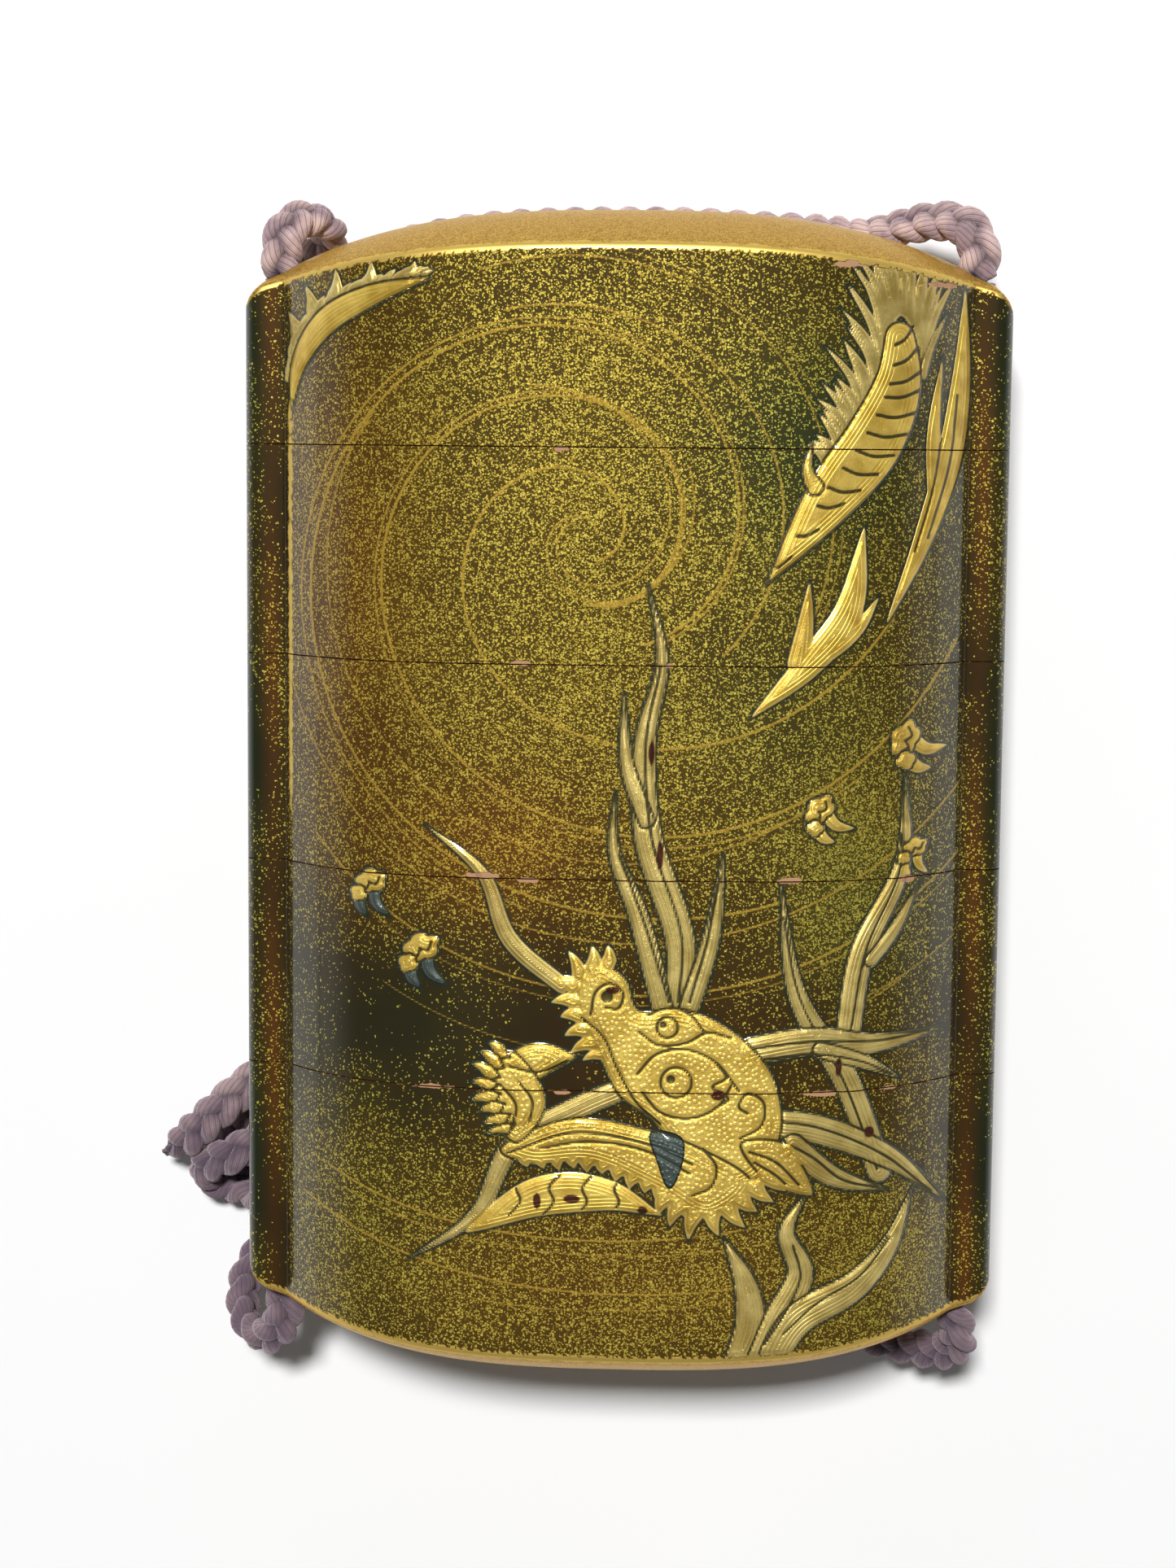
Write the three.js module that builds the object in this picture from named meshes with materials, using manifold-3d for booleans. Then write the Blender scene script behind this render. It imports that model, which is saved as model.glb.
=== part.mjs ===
// A lacquered inro: a flat stack of four small cases and a lid, threaded on one cord.
// It lies on its back. +Y runs up the stack to the lid, +X to the right of the decorated
// front, +Z up out of that front. The origin is under the middle of the stack.
import * as THREE from 'three';
import { mergeVertices } from 'three/addons/utils/BufferGeometryUtils.js';
import Module from 'manifold-3d';

const wasm = await Module();
wasm.setup();

// Outside of the stack, in millimetres.
const stack_width = 58;
const stack_thickness = 22.8;
const case_height = 15.9;
const base_side_height = 17.7;
const lid_side_height = 11.6;
const seam_gap = 0.1;

// The bulging panels and the two flat cord runners beside them.
const runner_width = 3.1;
const runner_thickness = 6.0;
const runner_edge_radius = 1.3;
const panel_roundness = 4;
const back_flat_width = 10;

// The domed ends.
const rim_rise = 3.1;
const rim_roundness = 2.5;
const dome_rise = 6.2;
const dome_roundness = 2.8;
const end_corner_radius = 1.8;

// Walls, risers and cord bores.
const outer_wall = 1.5;
const side_wall = 6.1;
const riser_wall = 0.8;
const riser_height = 3.5;
const riser_clearance = 0.3;
const recess_headroom = 0.3;
const floor_thickness = 1.4;
const end_wall = 2.6;
const bore_radius = 1.7;
const bore_inset = 2.6;
const hollow_side_power = 4;
const hollow_front_power = 2.5;
const cut_overrun = 1;

// Raised gold figures.
const relief_height = 0.35;
const drawing_width = 58;
const drawing_height = 77;
const lock_root = 0.9;
const knuckle_reach = 0.95;
const toe_reach = 2.1;
const toe_hook = 0.35;

// The plaited cord and its knot.
const cord_diameter = 3;
const cord_sides = 8;
const channel_play = 0.35;
const cord_inset = 0.5;
const knot_length = 11.2;
const knot_breadth = 12.8;
const knot_height = 7.2;
const knot_lift = 0.25;

// Values worked out from the sizes above.
const half_width = stack_width / 2;
const mid = stack_thickness / 2;
const bulge = mid - runner_thickness / 2;
const panel_half = half_width - runner_width;
const bore_x = half_width - bore_inset;
const side_height = base_side_height + 3 * case_height + lid_side_height;
const side_end = side_height / 2;
const seams = [0, 1, 2, 3].map((step) => -side_end + base_side_height + step * case_height);
const recess_depth = riser_height + recess_headroom;

function halfThickness(x) {
  const across = Math.min(Math.abs(x), half_width);
  if (across >= panel_half) return runner_thickness / 2;
  return runner_thickness / 2 + bulge * (1 - (across / panel_half) ** panel_roundness);
}

// Height of a domed end above the side corners, over the point x, z of the section.
function endRise(x, z_share) {
  const across = Math.min(Math.abs(x), half_width);
  const rim = rim_rise * (1 - (across / half_width) ** rim_roundness);
  const crest = dome_rise * (1 - (across / half_width) ** dome_roundness);
  const into_corner = Math.max(0, across - (half_width - end_corner_radius));
  const drop = end_corner_radius
    - Math.sqrt(Math.max(0, end_corner_radius ** 2 - into_corner ** 2));
  return rim + (crest - rim) * (1 - Math.min(1, Math.abs(z_share)) ** 2) - drop;
}

function solidOf(geometry) {
  const bare = geometry.clone();
  bare.deleteAttribute('normal');
  bare.deleteAttribute('uv');
  const merged = mergeVertices(bare, 1e-4);
  return new wasm.Manifold(new wasm.Mesh({
    numProp: 3,
    vertProperties: new Float32Array(merged.attributes.position.array),
    triVerts: new Uint32Array(merged.index.array),
  }));
}

function geometryOf(solid) {
  const mesh = solid.getMesh();
  const geometry = new THREE.BufferGeometry();
  geometry.setAttribute('position', new THREE.BufferAttribute(mesh.vertProperties, 3));
  geometry.setIndex(new THREE.BufferAttribute(mesh.triVerts, 1));
  const merged = mergeVertices(geometry, 1e-3);
  merged.computeVertexNormals();
  return merged;
}

// A prism along Y between two heights, its outline given in x and z.
function alongStack(outline, low, high) {
  const shape = new THREE.Shape(outline.map(([x, z]) => new THREE.Vector2(x, z)));
  const prism = new THREE.ExtrudeGeometry(shape, { depth: high - low, bevelEnabled: false });
  return solidOf(prism.rotateX(Math.PI / 2).translate(0, high, 0));
}

// A prism standing up in Z between two heights, its outline given in x and y.
function upwards(outline, low, high) {
  const shape = new THREE.Shape(outline.map(([x, y]) => new THREE.Vector2(x, y)));
  const prism = new THREE.ExtrudeGeometry(shape, { depth: high - low, bevelEnabled: false });
  return solidOf(prism.translate(0, 0, low));
}

function box(width, length, height, x, y, z) {
  return solidOf(new THREE.BoxGeometry(width, length, height).translate(x, y, z));
}

// The outline of the section, proud of the true surface by the given amount on the panels.
function sectionOutline(proud) {
  const front = [];
  const panel_steps = 24;
  for (let step = 0; step <= panel_steps; step += 1) {
    const x = panel_half * Math.sin((Math.PI / 2) * (step / panel_steps * 2 - 1));
    front.push([x, halfThickness(x) + proud]);
  }
  const corner = [];
  const corner_steps = 3;
  for (let step = 0; step <= corner_steps; step += 1) {
    const turn = (Math.PI / 2) * (step / corner_steps);
    corner.push([
      half_width - runner_edge_radius * (1 - Math.sin(turn)),
      runner_thickness / 2 - runner_edge_radius * (1 - Math.cos(turn)),
    ]);
  }
  const left = corner.map(([x, z]) => [-x, z]).reverse();
  const upper = [...left, ...front, ...corner];
  const lowest = back_flat_width / 2;
  const lower = upper
    .filter(([x]) => Math.abs(x) >= lowest)
    .map(([x, z]) => [x, -z])
    .reverse();
  const flat = lower.findIndex(([x]) => x < 0);
  lower.splice(flat, 0, [lowest, -mid], [-lowest, -mid]);
  return [...upper, ...lower].map(([x, z]) => [x, z + mid]);
}

// A closed block whose two ends are the domes, wider than the section all round.
function domedBlock() {
  const shares = [0, 0.16, 0.32, 0.48, 0.62, 0.74, 0.83];
  const positive = [...shares.map((share) => share * half_width), panel_half,
    half_width - end_corner_radius, half_width - end_corner_radius / 2,
    half_width - end_corner_radius / 5, half_width, half_width + 1.5];
  const across = [...positive.slice(1).map((x) => -x).reverse(), ...positive];
  const through = [-1.4, -1, -0.8, -0.45, 0, 0.45, 0.8, 1, 1.4];
  const columns = across.length;
  const rows = through.length;
  const positions = [];
  for (const end of [1, -1]) {
    for (const x of across) {
      for (const share of through) {
        const y = end * (side_end + endRise(x, share));
        positions.push(x, y, mid + share * halfThickness(x));
      }
    }
  }
  const at = (end, column, row) => end * columns * rows + column * rows + row;
  const faces = [];
  const quad = (a, b, c, d) => faces.push(a, b, c, a, c, d);
  for (let column = 0; column < columns - 1; column += 1) {
    for (let row = 0; row < rows - 1; row += 1) {
      quad(at(0, column, row), at(0, column, row + 1),
        at(0, column + 1, row + 1), at(0, column + 1, row));
      quad(at(1, column, row), at(1, column + 1, row),
        at(1, column + 1, row + 1), at(1, column, row + 1));
    }
    quad(at(0, column, 0), at(0, column + 1, 0), at(1, column + 1, 0), at(1, column, 0));
    quad(at(0, column, rows - 1), at(1, column, rows - 1),
      at(1, column + 1, rows - 1), at(0, column + 1, rows - 1));
  }
  for (let row = 0; row < rows - 1; row += 1) {
    quad(at(0, 0, row), at(1, 0, row), at(1, 0, row + 1), at(0, 0, row + 1));
    quad(at(0, columns - 1, row), at(0, columns - 1, row + 1),
      at(1, columns - 1, row + 1), at(1, columns - 1, row));
  }
  const geometry = new THREE.BufferGeometry();
  geometry.setAttribute('position', new THREE.Float32BufferAttribute(positions, 3));
  geometry.setIndex(faces);
  return solidOf(geometry);
}

// The rounded-oblong outline of a hollow, a riser or a recess.
function hollowOutline(reach_x, reach_z) {
  const outline = [];
  const steps = 40;
  for (let step = 0; step < steps; step += 1) {
    const turn = (2 * Math.PI * step) / steps;
    const c = Math.cos(turn);
    const s = Math.sin(turn);
    const x = reach_x * Math.sign(c) * Math.abs(c) ** (2 / hollow_side_power);
    const z = reach_z * Math.sign(s) * Math.abs(s) ** (2 / hollow_front_power);
    outline.push([x, mid + z]);
  }
  return outline;
}

// A figure's place on the drawing, carried onto the case's real front.
const onFront = ([x, y]) => [
  x * (stack_width / drawing_width),
  y * (side_height / drawing_height),
];

// A tapering stroke through a few points: width at its root, width of its belly, sharp tip.
function stroke(points, root, belly) {
  const spine = new THREE.CatmullRomCurve3(
    points.map(([x, y]) => new THREE.Vector3(x, y, 0)), false, 'centripetal');
  const steps = points.length * 2;
  const left = [];
  const right = [];
  for (let step = 0; step < steps; step += 1) {
    const t = step / steps;
    const p = spine.getPointAt(t);
    const along = spine.getTangentAt(t);
    const reach = root * (1 - t) + belly * Math.sin(Math.PI * t);
    left.push(onFront([p.x - along.y * reach, p.y + along.x * reach]));
    right.push(onFront([p.x + along.y * reach, p.y - along.x * reach]));
  }
  const tip = spine.getPointAt(1);
  return [...right, onFront([tip.x, tip.y]), ...left.reverse()];
}

// A closed smooth outline through a few points.
function blob(points, steps_between = 2) {
  const edge = new THREE.CatmullRomCurve3(
    points.map(([x, y]) => new THREE.Vector3(x, y, 0)), true, 'centripetal');
  return edge.getPoints(points.length * steps_between).slice(0, -1)
    .map((p) => onFront([p.x, p.y]));
}

// A row of pointed locks along a curve; each lock leans back along the row.
function fringe(points, locks, reach, lean) {
  const edge = new THREE.CatmullRomCurve3(
    points.map(([x, y]) => new THREE.Vector3(x, y, 0)), false, 'centripetal');
  const outline = [];
  for (let lock = 0; lock < locks; lock += 1) {
    const p = edge.getPointAt(lock / locks);
    const tip = edge.getPointAt((lock + 0.5) / locks);
    const along = edge.getTangentAt((lock + 0.5) / locks);
    outline.push([p.x, p.y]);
    outline.push([
      tip.x + along.y * reach + along.x * lean,
      tip.y - along.x * reach + along.y * lean,
    ]);
  }
  const end = edge.getPointAt(1);
  outline.push([end.x, end.y]);
  const root = -Math.sign(reach) * lock_root;
  for (let back = 3; back > 0; back -= 1) {
    const p = edge.getPointAt(back / 4);
    const along = edge.getTangentAt(back / 4);
    outline.push([p.x + along.y * root, p.y - along.x * root]);
  }
  return outline.map(onFront);
}

// The dragon rising through water: x to the right and y up from the middle of the front.
const strokes = [
  { name: 'tail', points: [[20.1, 36.2], [20.1, 31.8], [18.4, 27.6], [15.3, 23.5], [10.6, 17.0]],
    root: 0.9, belly: 1.75 },
  { name: 'tail_plume', points: [[20.1, 34.8], [18.6, 38.0], [15.0, 40.4]], root: 1.1, belly: 0.5 },
  { name: 'tail_plume_right', points: [[20.2, 34.8], [21.0, 37.6], [22.0, 39.4]],
    root: 0.9, belly: 0.4 },
  { name: 'tail_spine', points: [[19.2, 29.6], [17.2, 32.6], [16.6, 35.6]], root: 1.2, belly: 0.3 },
  { name: 'tail_hook', points: [[14.6, 23.6], [13.2, 25.8], [13.9, 28.2]], root: 1.0, belly: 0.2 },
  { name: 'far_flame', points: [[19.5, 14.2], [22.4, 21.2], [24.0, 28.0], [24.6, 33.0], [25.2, 39.0]],
    root: 0.05, belly: 1.3 },
  { name: 'far_flame_inner', points: [[23.2, 24.0], [22.5, 29.0], [23.0, 34.2]], root: 0.8, belly: 0.2 },
  { name: 'near_flame', points: [[9.7, 7.3], [13.8, 11.2], [16.6, 14.9], [17.8, 21.4]],
    root: 0.05, belly: 1.1 },
  { name: 'near_flame_left', points: [[12.9, 10.5], [13.5, 13.8], [13.8, 17.4]], root: 0.8, belly: 0.2 },
  { name: 'near_flame_right', points: [[15.0, 11.8], [17.4, 13.8], [19.0, 16.2]], root: 0.6, belly: 0.2 },
  { name: 'crest_tall', points: [[4.4, -15.2], [4.7, -9.6], [2.2, -1.6], [1.9, 5.4], [3.1, 11.4],
    [2.0, 17.0]], root: 1.0, belly: 0.45 },
  { name: 'crest_left', points: [[2.3, -1.0], [0.6, 3.8], [0.3, 9.0]], root: 0.6, belly: 0.2 },
  { name: 'crest_low', points: [[3.6, -15.0], [1.5, -7.4], [-0.3, -2.6], [-0.2, 1.8]],
    root: 0.75, belly: 0.3 },
  { name: 'crest_right', points: [[5.2, -15.0], [7.0, -9.0], [7.8, -2.8]], root: 0.75, belly: 0.25 },
  { name: 'whisker_high', points: [[-3.6, -13.2], [-8.0, -9.4], [-10.0, -4.6], [-14.4, -1.0]],
    root: 0.6, belly: 0.25 },
  { name: 'whisker_long', points: [[2.0, -20.0], [-2.6, -22.0], [-7.6, -25.0], [-10.4, -30.4],
    [-15.6, -34.2]], root: 0.8, belly: 0.35 },
  { name: 'horn_high', points: [[9.0, -17.8], [14.6, -16.9], [19.4, -17.3], [25.0, -16.7]],
    root: 1.05, belly: 0.4 },
  { name: 'horn_high_tine', points: [[14.6, -17.4], [18.4, -18.6], [21.4, -20.2]],
    root: 0.6, belly: 0.25 },
  { name: 'horn_low', points: [[9.4, -23.0], [15.0, -23.6], [20.6, -26.2], [25.4, -30.6]],
    root: 1.0, belly: 0.5 },
  { name: 'horn_low_tine', points: [[12.6, -24.2], [16.2, -27.2], [20.6, -28.7]],
    root: 0.9, belly: 0.35 },
  { name: 'weed_left', points: [[20.2, -28.0], [17.2, -20.0], [13.4, -13.4], [12.0, -4.8]],
    root: 0.9, belly: 0.4 },
  { name: 'weed_right', points: [[17.2, -17.0], [18.2, -10.4], [21.2, -3.8], [21.2, 3.4]],
    root: 0.9, belly: 0.35 },
  { name: 'weed_tip', points: [[18.6, -11.4], [20.8, -8.6], [22.5, -5.4]], root: 0.5, belly: 0.2 },
  { name: 'low_flame_left', points: [[9.4, -39.4], [9.3, -35.6], [8.8, -31.6]], root: 0.9, belly: 0.35 },
  { name: 'low_flame_mid', points: [[11.2, -39.4], [13.3, -35.4], [14.4, -29.4]],
    root: 1.0, belly: 0.4 },
  { name: 'low_flame_right', points: [[11.4, -39.4], [17.0, -35.2], [22.4, -30.0]],
    root: 1.1, belly: 0.4 },
  { name: 'back_curl', points: [[-14.6, 39.0], [-19.8, 37.6], [-23.6, 34.6], [-25.0, 30.6],
    [-25.2, 27.3]], root: 0.1, belly: 1.0 },
  { name: 'tongue', points: [[-11.2, -31.8], [-5.6, -28.9], [-0.6, -28.7], [3.6, -30.2]],
    root: 0.1, belly: 1.5 },
  { name: 'chin_leaf', points: [[-8.8, -20.6], [-6.0, -18.6], [-2.8, -18.2]], root: 1.0, belly: 0.9 },
];

const blobs = [
  { name: 'skull', points: [[-3.0, -13.4], [-1.6, -11.2], [0.6, -12.2], [1.6, -14.6], [4.6, -14.4],
    [8.2, -15.8], [11.4, -19.0], [12.4, -23.2], [11.0, -27.0], [7.2, -28.2], [4.6, -25.2],
    [2.6, -22.8], [0.4, -21.2], [-1.2, -18.2]] },
  { name: 'jaw', points: [[-8.6, -25.4], [-3.4, -22.9], [2.2, -23.6], [6.4, -25.0], [10.2, -27.6],
    [7.0, -30.2], [3.0, -28.2], [-1.8, -26.2], [-6.4, -26.4]] },
  { name: 'chin', points: [[-9.8, -19.2], [-8.0, -17.8], [-6.0, -19.6], [-5.2, -22.0], [-7.4, -24.8],
    [-9.4, -22.6]] },
  { name: 'ear', points: [[9.4, -24.6], [12.6, -24.6], [14.8, -28.6], [11.6, -27.6]] },
];

const fringes = [
  { name: 'nose_locks', points: [[0.0, -10.9], [-3.2, -12.2], [-2.6, -15.6], [-0.8, -18.4]],
    locks: 6, reach: 1.5, lean: -0.3 },
  { name: 'chin_locks', points: [[-8.4, -17.4], [-9.6, -20.4], [-8.0, -24.2]],
    locks: 6, reach: 1.3, lean: -0.2 },
  { name: 'mane_locks', points: [[3.2, -28.2], [7.0, -30.0], [10.6, -27.6], [13.0, -24.6]],
    locks: 8, reach: 1.9, lean: 0.3 },
  { name: 'tail_locks', points: [[15.0, 24.8], [17.4, 28.6], [19.2, 33.6]],
    locks: 5, reach: -1.0, lean: 0.6 },
  { name: 'curl_locks', points: [[-24.6, 34.6], [-20.4, 38.2], [-14.8, 39.6]],
    locks: 6, reach: -1.5, lean: 0.4 },
];

// Four clawed feet, each a knuckle with three hooked toes.
const claws = [
  { name: 'claw_left', place: [-18.6, -6.2], turn: -0.2, size: 1.15 },
  { name: 'claw_low', place: [-14.9, -11.0], turn: 0.3, size: 1.3 },
  { name: 'claw_right', place: [21.0, 5.0], turn: 0.1, size: 1.25 },
  { name: 'claw_mid', place: [15.0, -0.2], turn: -0.5, size: 1.0 },
  { name: 'claw_far', place: [22.0, -2.9], turn: 0.2, size: 0.8 },
];

function clawOutline({ place, turn, size }) {
  const outline = [];
  const toes = [1.0, 2.35, 3.9];
  const knuckle_steps = 9;
  for (let step = 0; step < knuckle_steps; step += 1) {
    const angle = (2 * Math.PI * step) / knuckle_steps;
    const near_toe = toes.some((toe) => Math.abs(toe - angle) < Math.PI / knuckle_steps);
    const reach = size * (near_toe ? toe_reach : knuckle_reach);
    const hook = near_toe ? toe_hook : 0;
    outline.push(onFront([
      place[0] + reach * Math.cos(angle + turn + hook),
      place[1] + reach * Math.sin(angle + turn + hook),
    ]));
  }
  return outline;
}

const body = alongStack(sectionOutline(0), -side_end - 2 * dome_rise, side_end + 2 * dome_rise)
  .intersect(domedBlock());

function reliefSolid() {
  const outlines = [
    ...strokes.map(({ points, root, belly }) => stroke(points, root, belly)),
    ...blobs.map(({ points }) => blob(points)),
    ...fringes.map(({ points, locks, reach, lean }) => fringe(points, locks, reach, lean)),
    ...claws.map(clawOutline),
  ];
  const raised = alongStack(sectionOutline(relief_height), -side_end - rim_rise, side_end + rim_rise)
    .intersect(domedBlock());
  const under = mid + relief_height;
  return outlines
    .map((outline) => upwards(outline, under, stack_thickness + 2 * relief_height))
    .reduce((sum, one) => sum.add(one))
    .intersect(raised);
}

const relief = reliefSolid();
const cavity_x = half_width - side_wall - riser_clearance - riser_wall;
const cavity_z = mid - outer_wall - riser_clearance - riser_wall;
const bore_reach = side_end + dome_rise + cut_overrun;

function boreCuts() {
  return [-1, 1].map((side) => {
    const bore = new THREE.CylinderGeometry(bore_radius, bore_radius, 2 * bore_reach, 16);
    return solidOf(bore.translate(side * bore_x, 0, mid));
  });
}

const bores = boreCuts();

// One tier: its slice of the body and relief, with a hollow, a riser above and a recess below.
function tier(low, high, is_base, is_lid) {
  const slab_low = is_base ? -bore_reach : low + seam_gap / 2;
  const slab_high = is_lid ? bore_reach : high - seam_gap / 2;
  const slab = box(2 * stack_width, slab_high - slab_low, 4 * stack_thickness,
    0, (slab_high + slab_low) / 2, mid);
  let solid = body.add(relief).intersect(slab);
  const hollow_low = is_base ? -side_end - rim_rise + end_wall
    : low + recess_depth + floor_thickness;
  if (!is_lid) {
    const riser = alongStack(hollowOutline(cavity_x + riser_wall, cavity_z + riser_wall),
      high - cut_overrun, high + riser_height);
    const hollow = alongStack(hollowOutline(cavity_x, cavity_z), hollow_low,
      high + riser_height + cut_overrun);
    solid = solid.add(riser).subtract(hollow);
  }
  if (!is_base) {
    const reach = riser_wall + riser_clearance;
    const recess = alongStack(hollowOutline(cavity_x + reach, cavity_z + reach),
      low - cut_overrun, low + recess_depth);
    solid = solid.subtract(recess);
  }
  if (is_lid) {
    const roof = side_end + rim_rise - end_wall;
    const hollow = alongStack(hollowOutline(cavity_x, cavity_z),
      low + recess_depth - cut_overrun, roof);
    solid = solid.subtract(hollow);
  }
  return bores.reduce((rest, bore) => rest.subtract(bore), solid);
}

const lacquer = new THREE.MeshStandardMaterial({ color: 0x5f4a18, roughness: 0.25, metalness: 0.3 });
const lid_lacquer = new THREE.MeshStandardMaterial({ color: 0x6b5420, roughness: 0.25, metalness: 0.3 });
const plait = new THREE.MeshStandardMaterial({ color: 0x6e5c70, roughness: 0.9, metalness: 0 });

const inro = new THREE.Group();

function addPiece(name, geometry, material) {
  const mesh = new THREE.Mesh(geometry, material);
  mesh.name = name;
  inro.add(mesh);
}

addPiece('lid', geometryOf(tier(seams[3], side_end, false, true)), lid_lacquer);
for (const [index, name] of ['case_1', 'case_2', 'case_3'].entries()) {
  const low = seams[2 - index];
  addPiece(name, geometryOf(tier(low, low + case_height, false, false)), lacquer);
}
addPiece('case_4', geometryOf(tier(-side_end, seams[0], true, false)), lacquer);

// The cord. Where it runs inside the bores it is straight.
const mouth = side_end + endRise(bore_x, 0);
for (const [name, side] of [['cord_left_channel', -1], ['cord_right_channel', 1]]) {
  const radius = bore_radius - channel_play;
  const length = 2 * (mouth - cord_inset);
  const run = new THREE.CylinderGeometry(radius, radius, length, cord_sides);
  addPiece(name, run.translate(side * bore_x, 0, mid), plait);
}

function cordTube(points, steps) {
  const route = new THREE.CatmullRomCurve3(
    points.map(([x, y, z]) => new THREE.Vector3(x, y, z)), false, 'centripetal');
  const section = new THREE.Shape();
  for (let side = 0; side < cord_sides; side += 1) {
    const turn = (2 * Math.PI * side) / cord_sides;
    const x = (cord_diameter / 2) * Math.cos(turn);
    const y = (cord_diameter / 2) * Math.sin(turn);
    if (side === 0) section.moveTo(x, y);
    else section.lineTo(x, y);
  }
  section.closePath();
  return new THREE.ExtrudeGeometry(section, { steps, bevelEnabled: false, extrudePath: route });
}

// Routes chosen by hand, in millimetres: out of the mouths, over the shoulders, and home.
const cord_left_route = [
  [-26.4, 39.9, 11.4], [-26.5, 41.5, 11.5], [-26.3, 42.8, 11.1], [-25.7, 43.7, 10.3],
  [-24.7, 44.2, 8.9], [-23.7, 43.8, 7.3], [-23.5, 43.2, 5.7], [-24.2, 42.3, 4.3],
  [-25.6, 40.9, 3.1], [-26.7, 38.5, 2.2], [-27.1, 35.4, 1.7], [-27.2, 31.0, 1.7],
  [-27.1, 24.0, 1.7], [-27.2, 14.0, 1.7], [-27.0, 4.0, 1.7], [-27.1, -6.0, 1.7],
  [-27.2, -14.0, 1.8], [-27.7, -19.0, 2.4], [-28.6, -22.4, 3.2],
];
const cord_right_route = [
  [26.4, 39.9, 11.4], [26.5, 41.5, 11.5], [26.2, 42.8, 11.2], [25.4, 43.8, 10.6],
  [24.1, 44.2, 9.5], [22.6, 44.2, 8.3], [21.0, 43.9, 7.0], [19.3, 43.7, 5.5],
  [17.6, 43.6, 4.1], [15.6, 43.65, 2.9], [13.2, 43.8, 2.0], [10.0, 43.95, 1.6], [5.0, 44.2, 1.6],
  [0.0, 44.25, 1.6], [-6.0, 44.15, 1.6], [-11.0, 43.85, 1.6], [-15.6, 43.15, 1.6],
  [-19.2, 42.1, 1.6], [-22.2, 40.0, 1.7], [-23.9, 36.0, 1.7], [-23.8, 28.0, 1.7],
  [-23.6, 20.0, 1.7], [-23.5, 10.0, 1.7], [-23.7, 0.0, 1.7], [-23.6, -10.0, 1.7], [-23.8, -18.0, 1.8],
  [-24.3, -23.0, 2.4], [-25.3, -26.0, 3.0],
];
const cord_bottom_route = [
  [-26.4, -39.9, 11.4], [-26.5, -41.7, 11.4], [-27.2, -43.3, 10.8], [-28.5, -44.3, 9.4],
  [-29.9, -44.1, 7.6], [-30.7, -42.7, 5.8], [-30.6, -40.8, 4.2], [-29.5, -39.0, 2.9],
  [-27.6, -38.2, 2.1], [-25.4, -38.6, 1.8], [-23.3, -40.3, 1.7], [-20.6, -42.2, 1.7],
  [-16.8, -43.4, 1.7], [-9.0, -44.2, 1.7], [0.0, -44.3, 1.7], [8.0, -44.3, 1.7],
  [13.0, -44.3, 1.8], [17.0, -44.6, 2.4], [20.4, -45.0, 3.6], [23.4, -45.2, 5.3],
  [25.6, -44.9, 7.3], [26.8, -43.8, 9.3], [26.8, -42.2, 10.8], [26.4, -39.9, 11.4],
];

addPiece('cord_left', cordTube(cord_left_route, 22), plait);
addPiece('cord_right', cordTube(cord_right_route, 34), plait);
addPiece('cord_bottom', cordTube(cord_bottom_route, 24), plait);

// The knot that joins both ends: a squat turned form with one cut end pinched to a point.
function knotGeometry() {
  const profile = [[0, 0], [0.3, 0.01], [0.75, 0.12], [1, 0.36], [0.96, 0.6], [0.62, 0.8],
    [0.24, 0.88], [0, 1]];
  const points = profile.map(([reach, along]) => new THREE.Vector2(reach, along * knot_length));
  const form = new THREE.LatheGeometry(points, 14);
  form.rotateZ(Math.PI / 2);
  form.scale(1, knot_breadth / 2, knot_height / 2);
  return form;
}

const knot_place = [-26.7, -29.8, knot_height / 2 + knot_lift];
addPiece('cord_knot', knotGeometry().translate(...knot_place), plait);

export default inro;
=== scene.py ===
import math

import bmesh
import bpy
import numpy as np
from mathutils import Matrix, Vector
from mathutils.geometry import tessellate_polygon


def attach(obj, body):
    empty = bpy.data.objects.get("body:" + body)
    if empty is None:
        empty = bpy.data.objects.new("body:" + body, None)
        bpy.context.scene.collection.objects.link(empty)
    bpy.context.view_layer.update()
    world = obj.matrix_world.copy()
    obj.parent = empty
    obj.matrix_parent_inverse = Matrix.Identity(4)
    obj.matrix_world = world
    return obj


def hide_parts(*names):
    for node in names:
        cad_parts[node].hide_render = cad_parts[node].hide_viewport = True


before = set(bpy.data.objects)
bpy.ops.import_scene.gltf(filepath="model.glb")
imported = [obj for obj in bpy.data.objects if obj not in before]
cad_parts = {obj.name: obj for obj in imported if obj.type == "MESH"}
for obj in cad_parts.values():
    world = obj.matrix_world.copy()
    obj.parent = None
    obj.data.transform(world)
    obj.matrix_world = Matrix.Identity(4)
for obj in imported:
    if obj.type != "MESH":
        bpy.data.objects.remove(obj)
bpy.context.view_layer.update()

# The viewpoint. The stack lies on its back and is seen from above its middle, a
# little from the right, at the distance that its seams and corners show.
photo_size = (1445, 1927)
focal_pixels = 3661.7
eye_place = Vector((0.0070, 0.02745, 0.24063))
eye_turn = Matrix.Rotation(math.radians(-0.798), 3, "Z")
eye_turn = eye_turn @ Matrix.Rotation(math.radians(-2.418), 3, "Y")
eye_turn = eye_turn @ Matrix.Rotation(math.radians(6.602), 3, "X")
camera_data = bpy.data.cameras.new("camera")
camera_data.sensor_width = 36.0
camera_data.lens = focal_pixels * camera_data.sensor_width / photo_size[1]
camera_data.clip_start = 0.01
camera = bpy.data.objects.new("camera", camera_data)
camera.matrix_world = Matrix.Translation(eye_place) @ eye_turn.transposed().to_4x4()
bpy.context.scene.collection.objects.link(camera)
bpy.context.scene.camera = camera
bpy.context.scene.view_settings.view_transform = "Standard"


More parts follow.
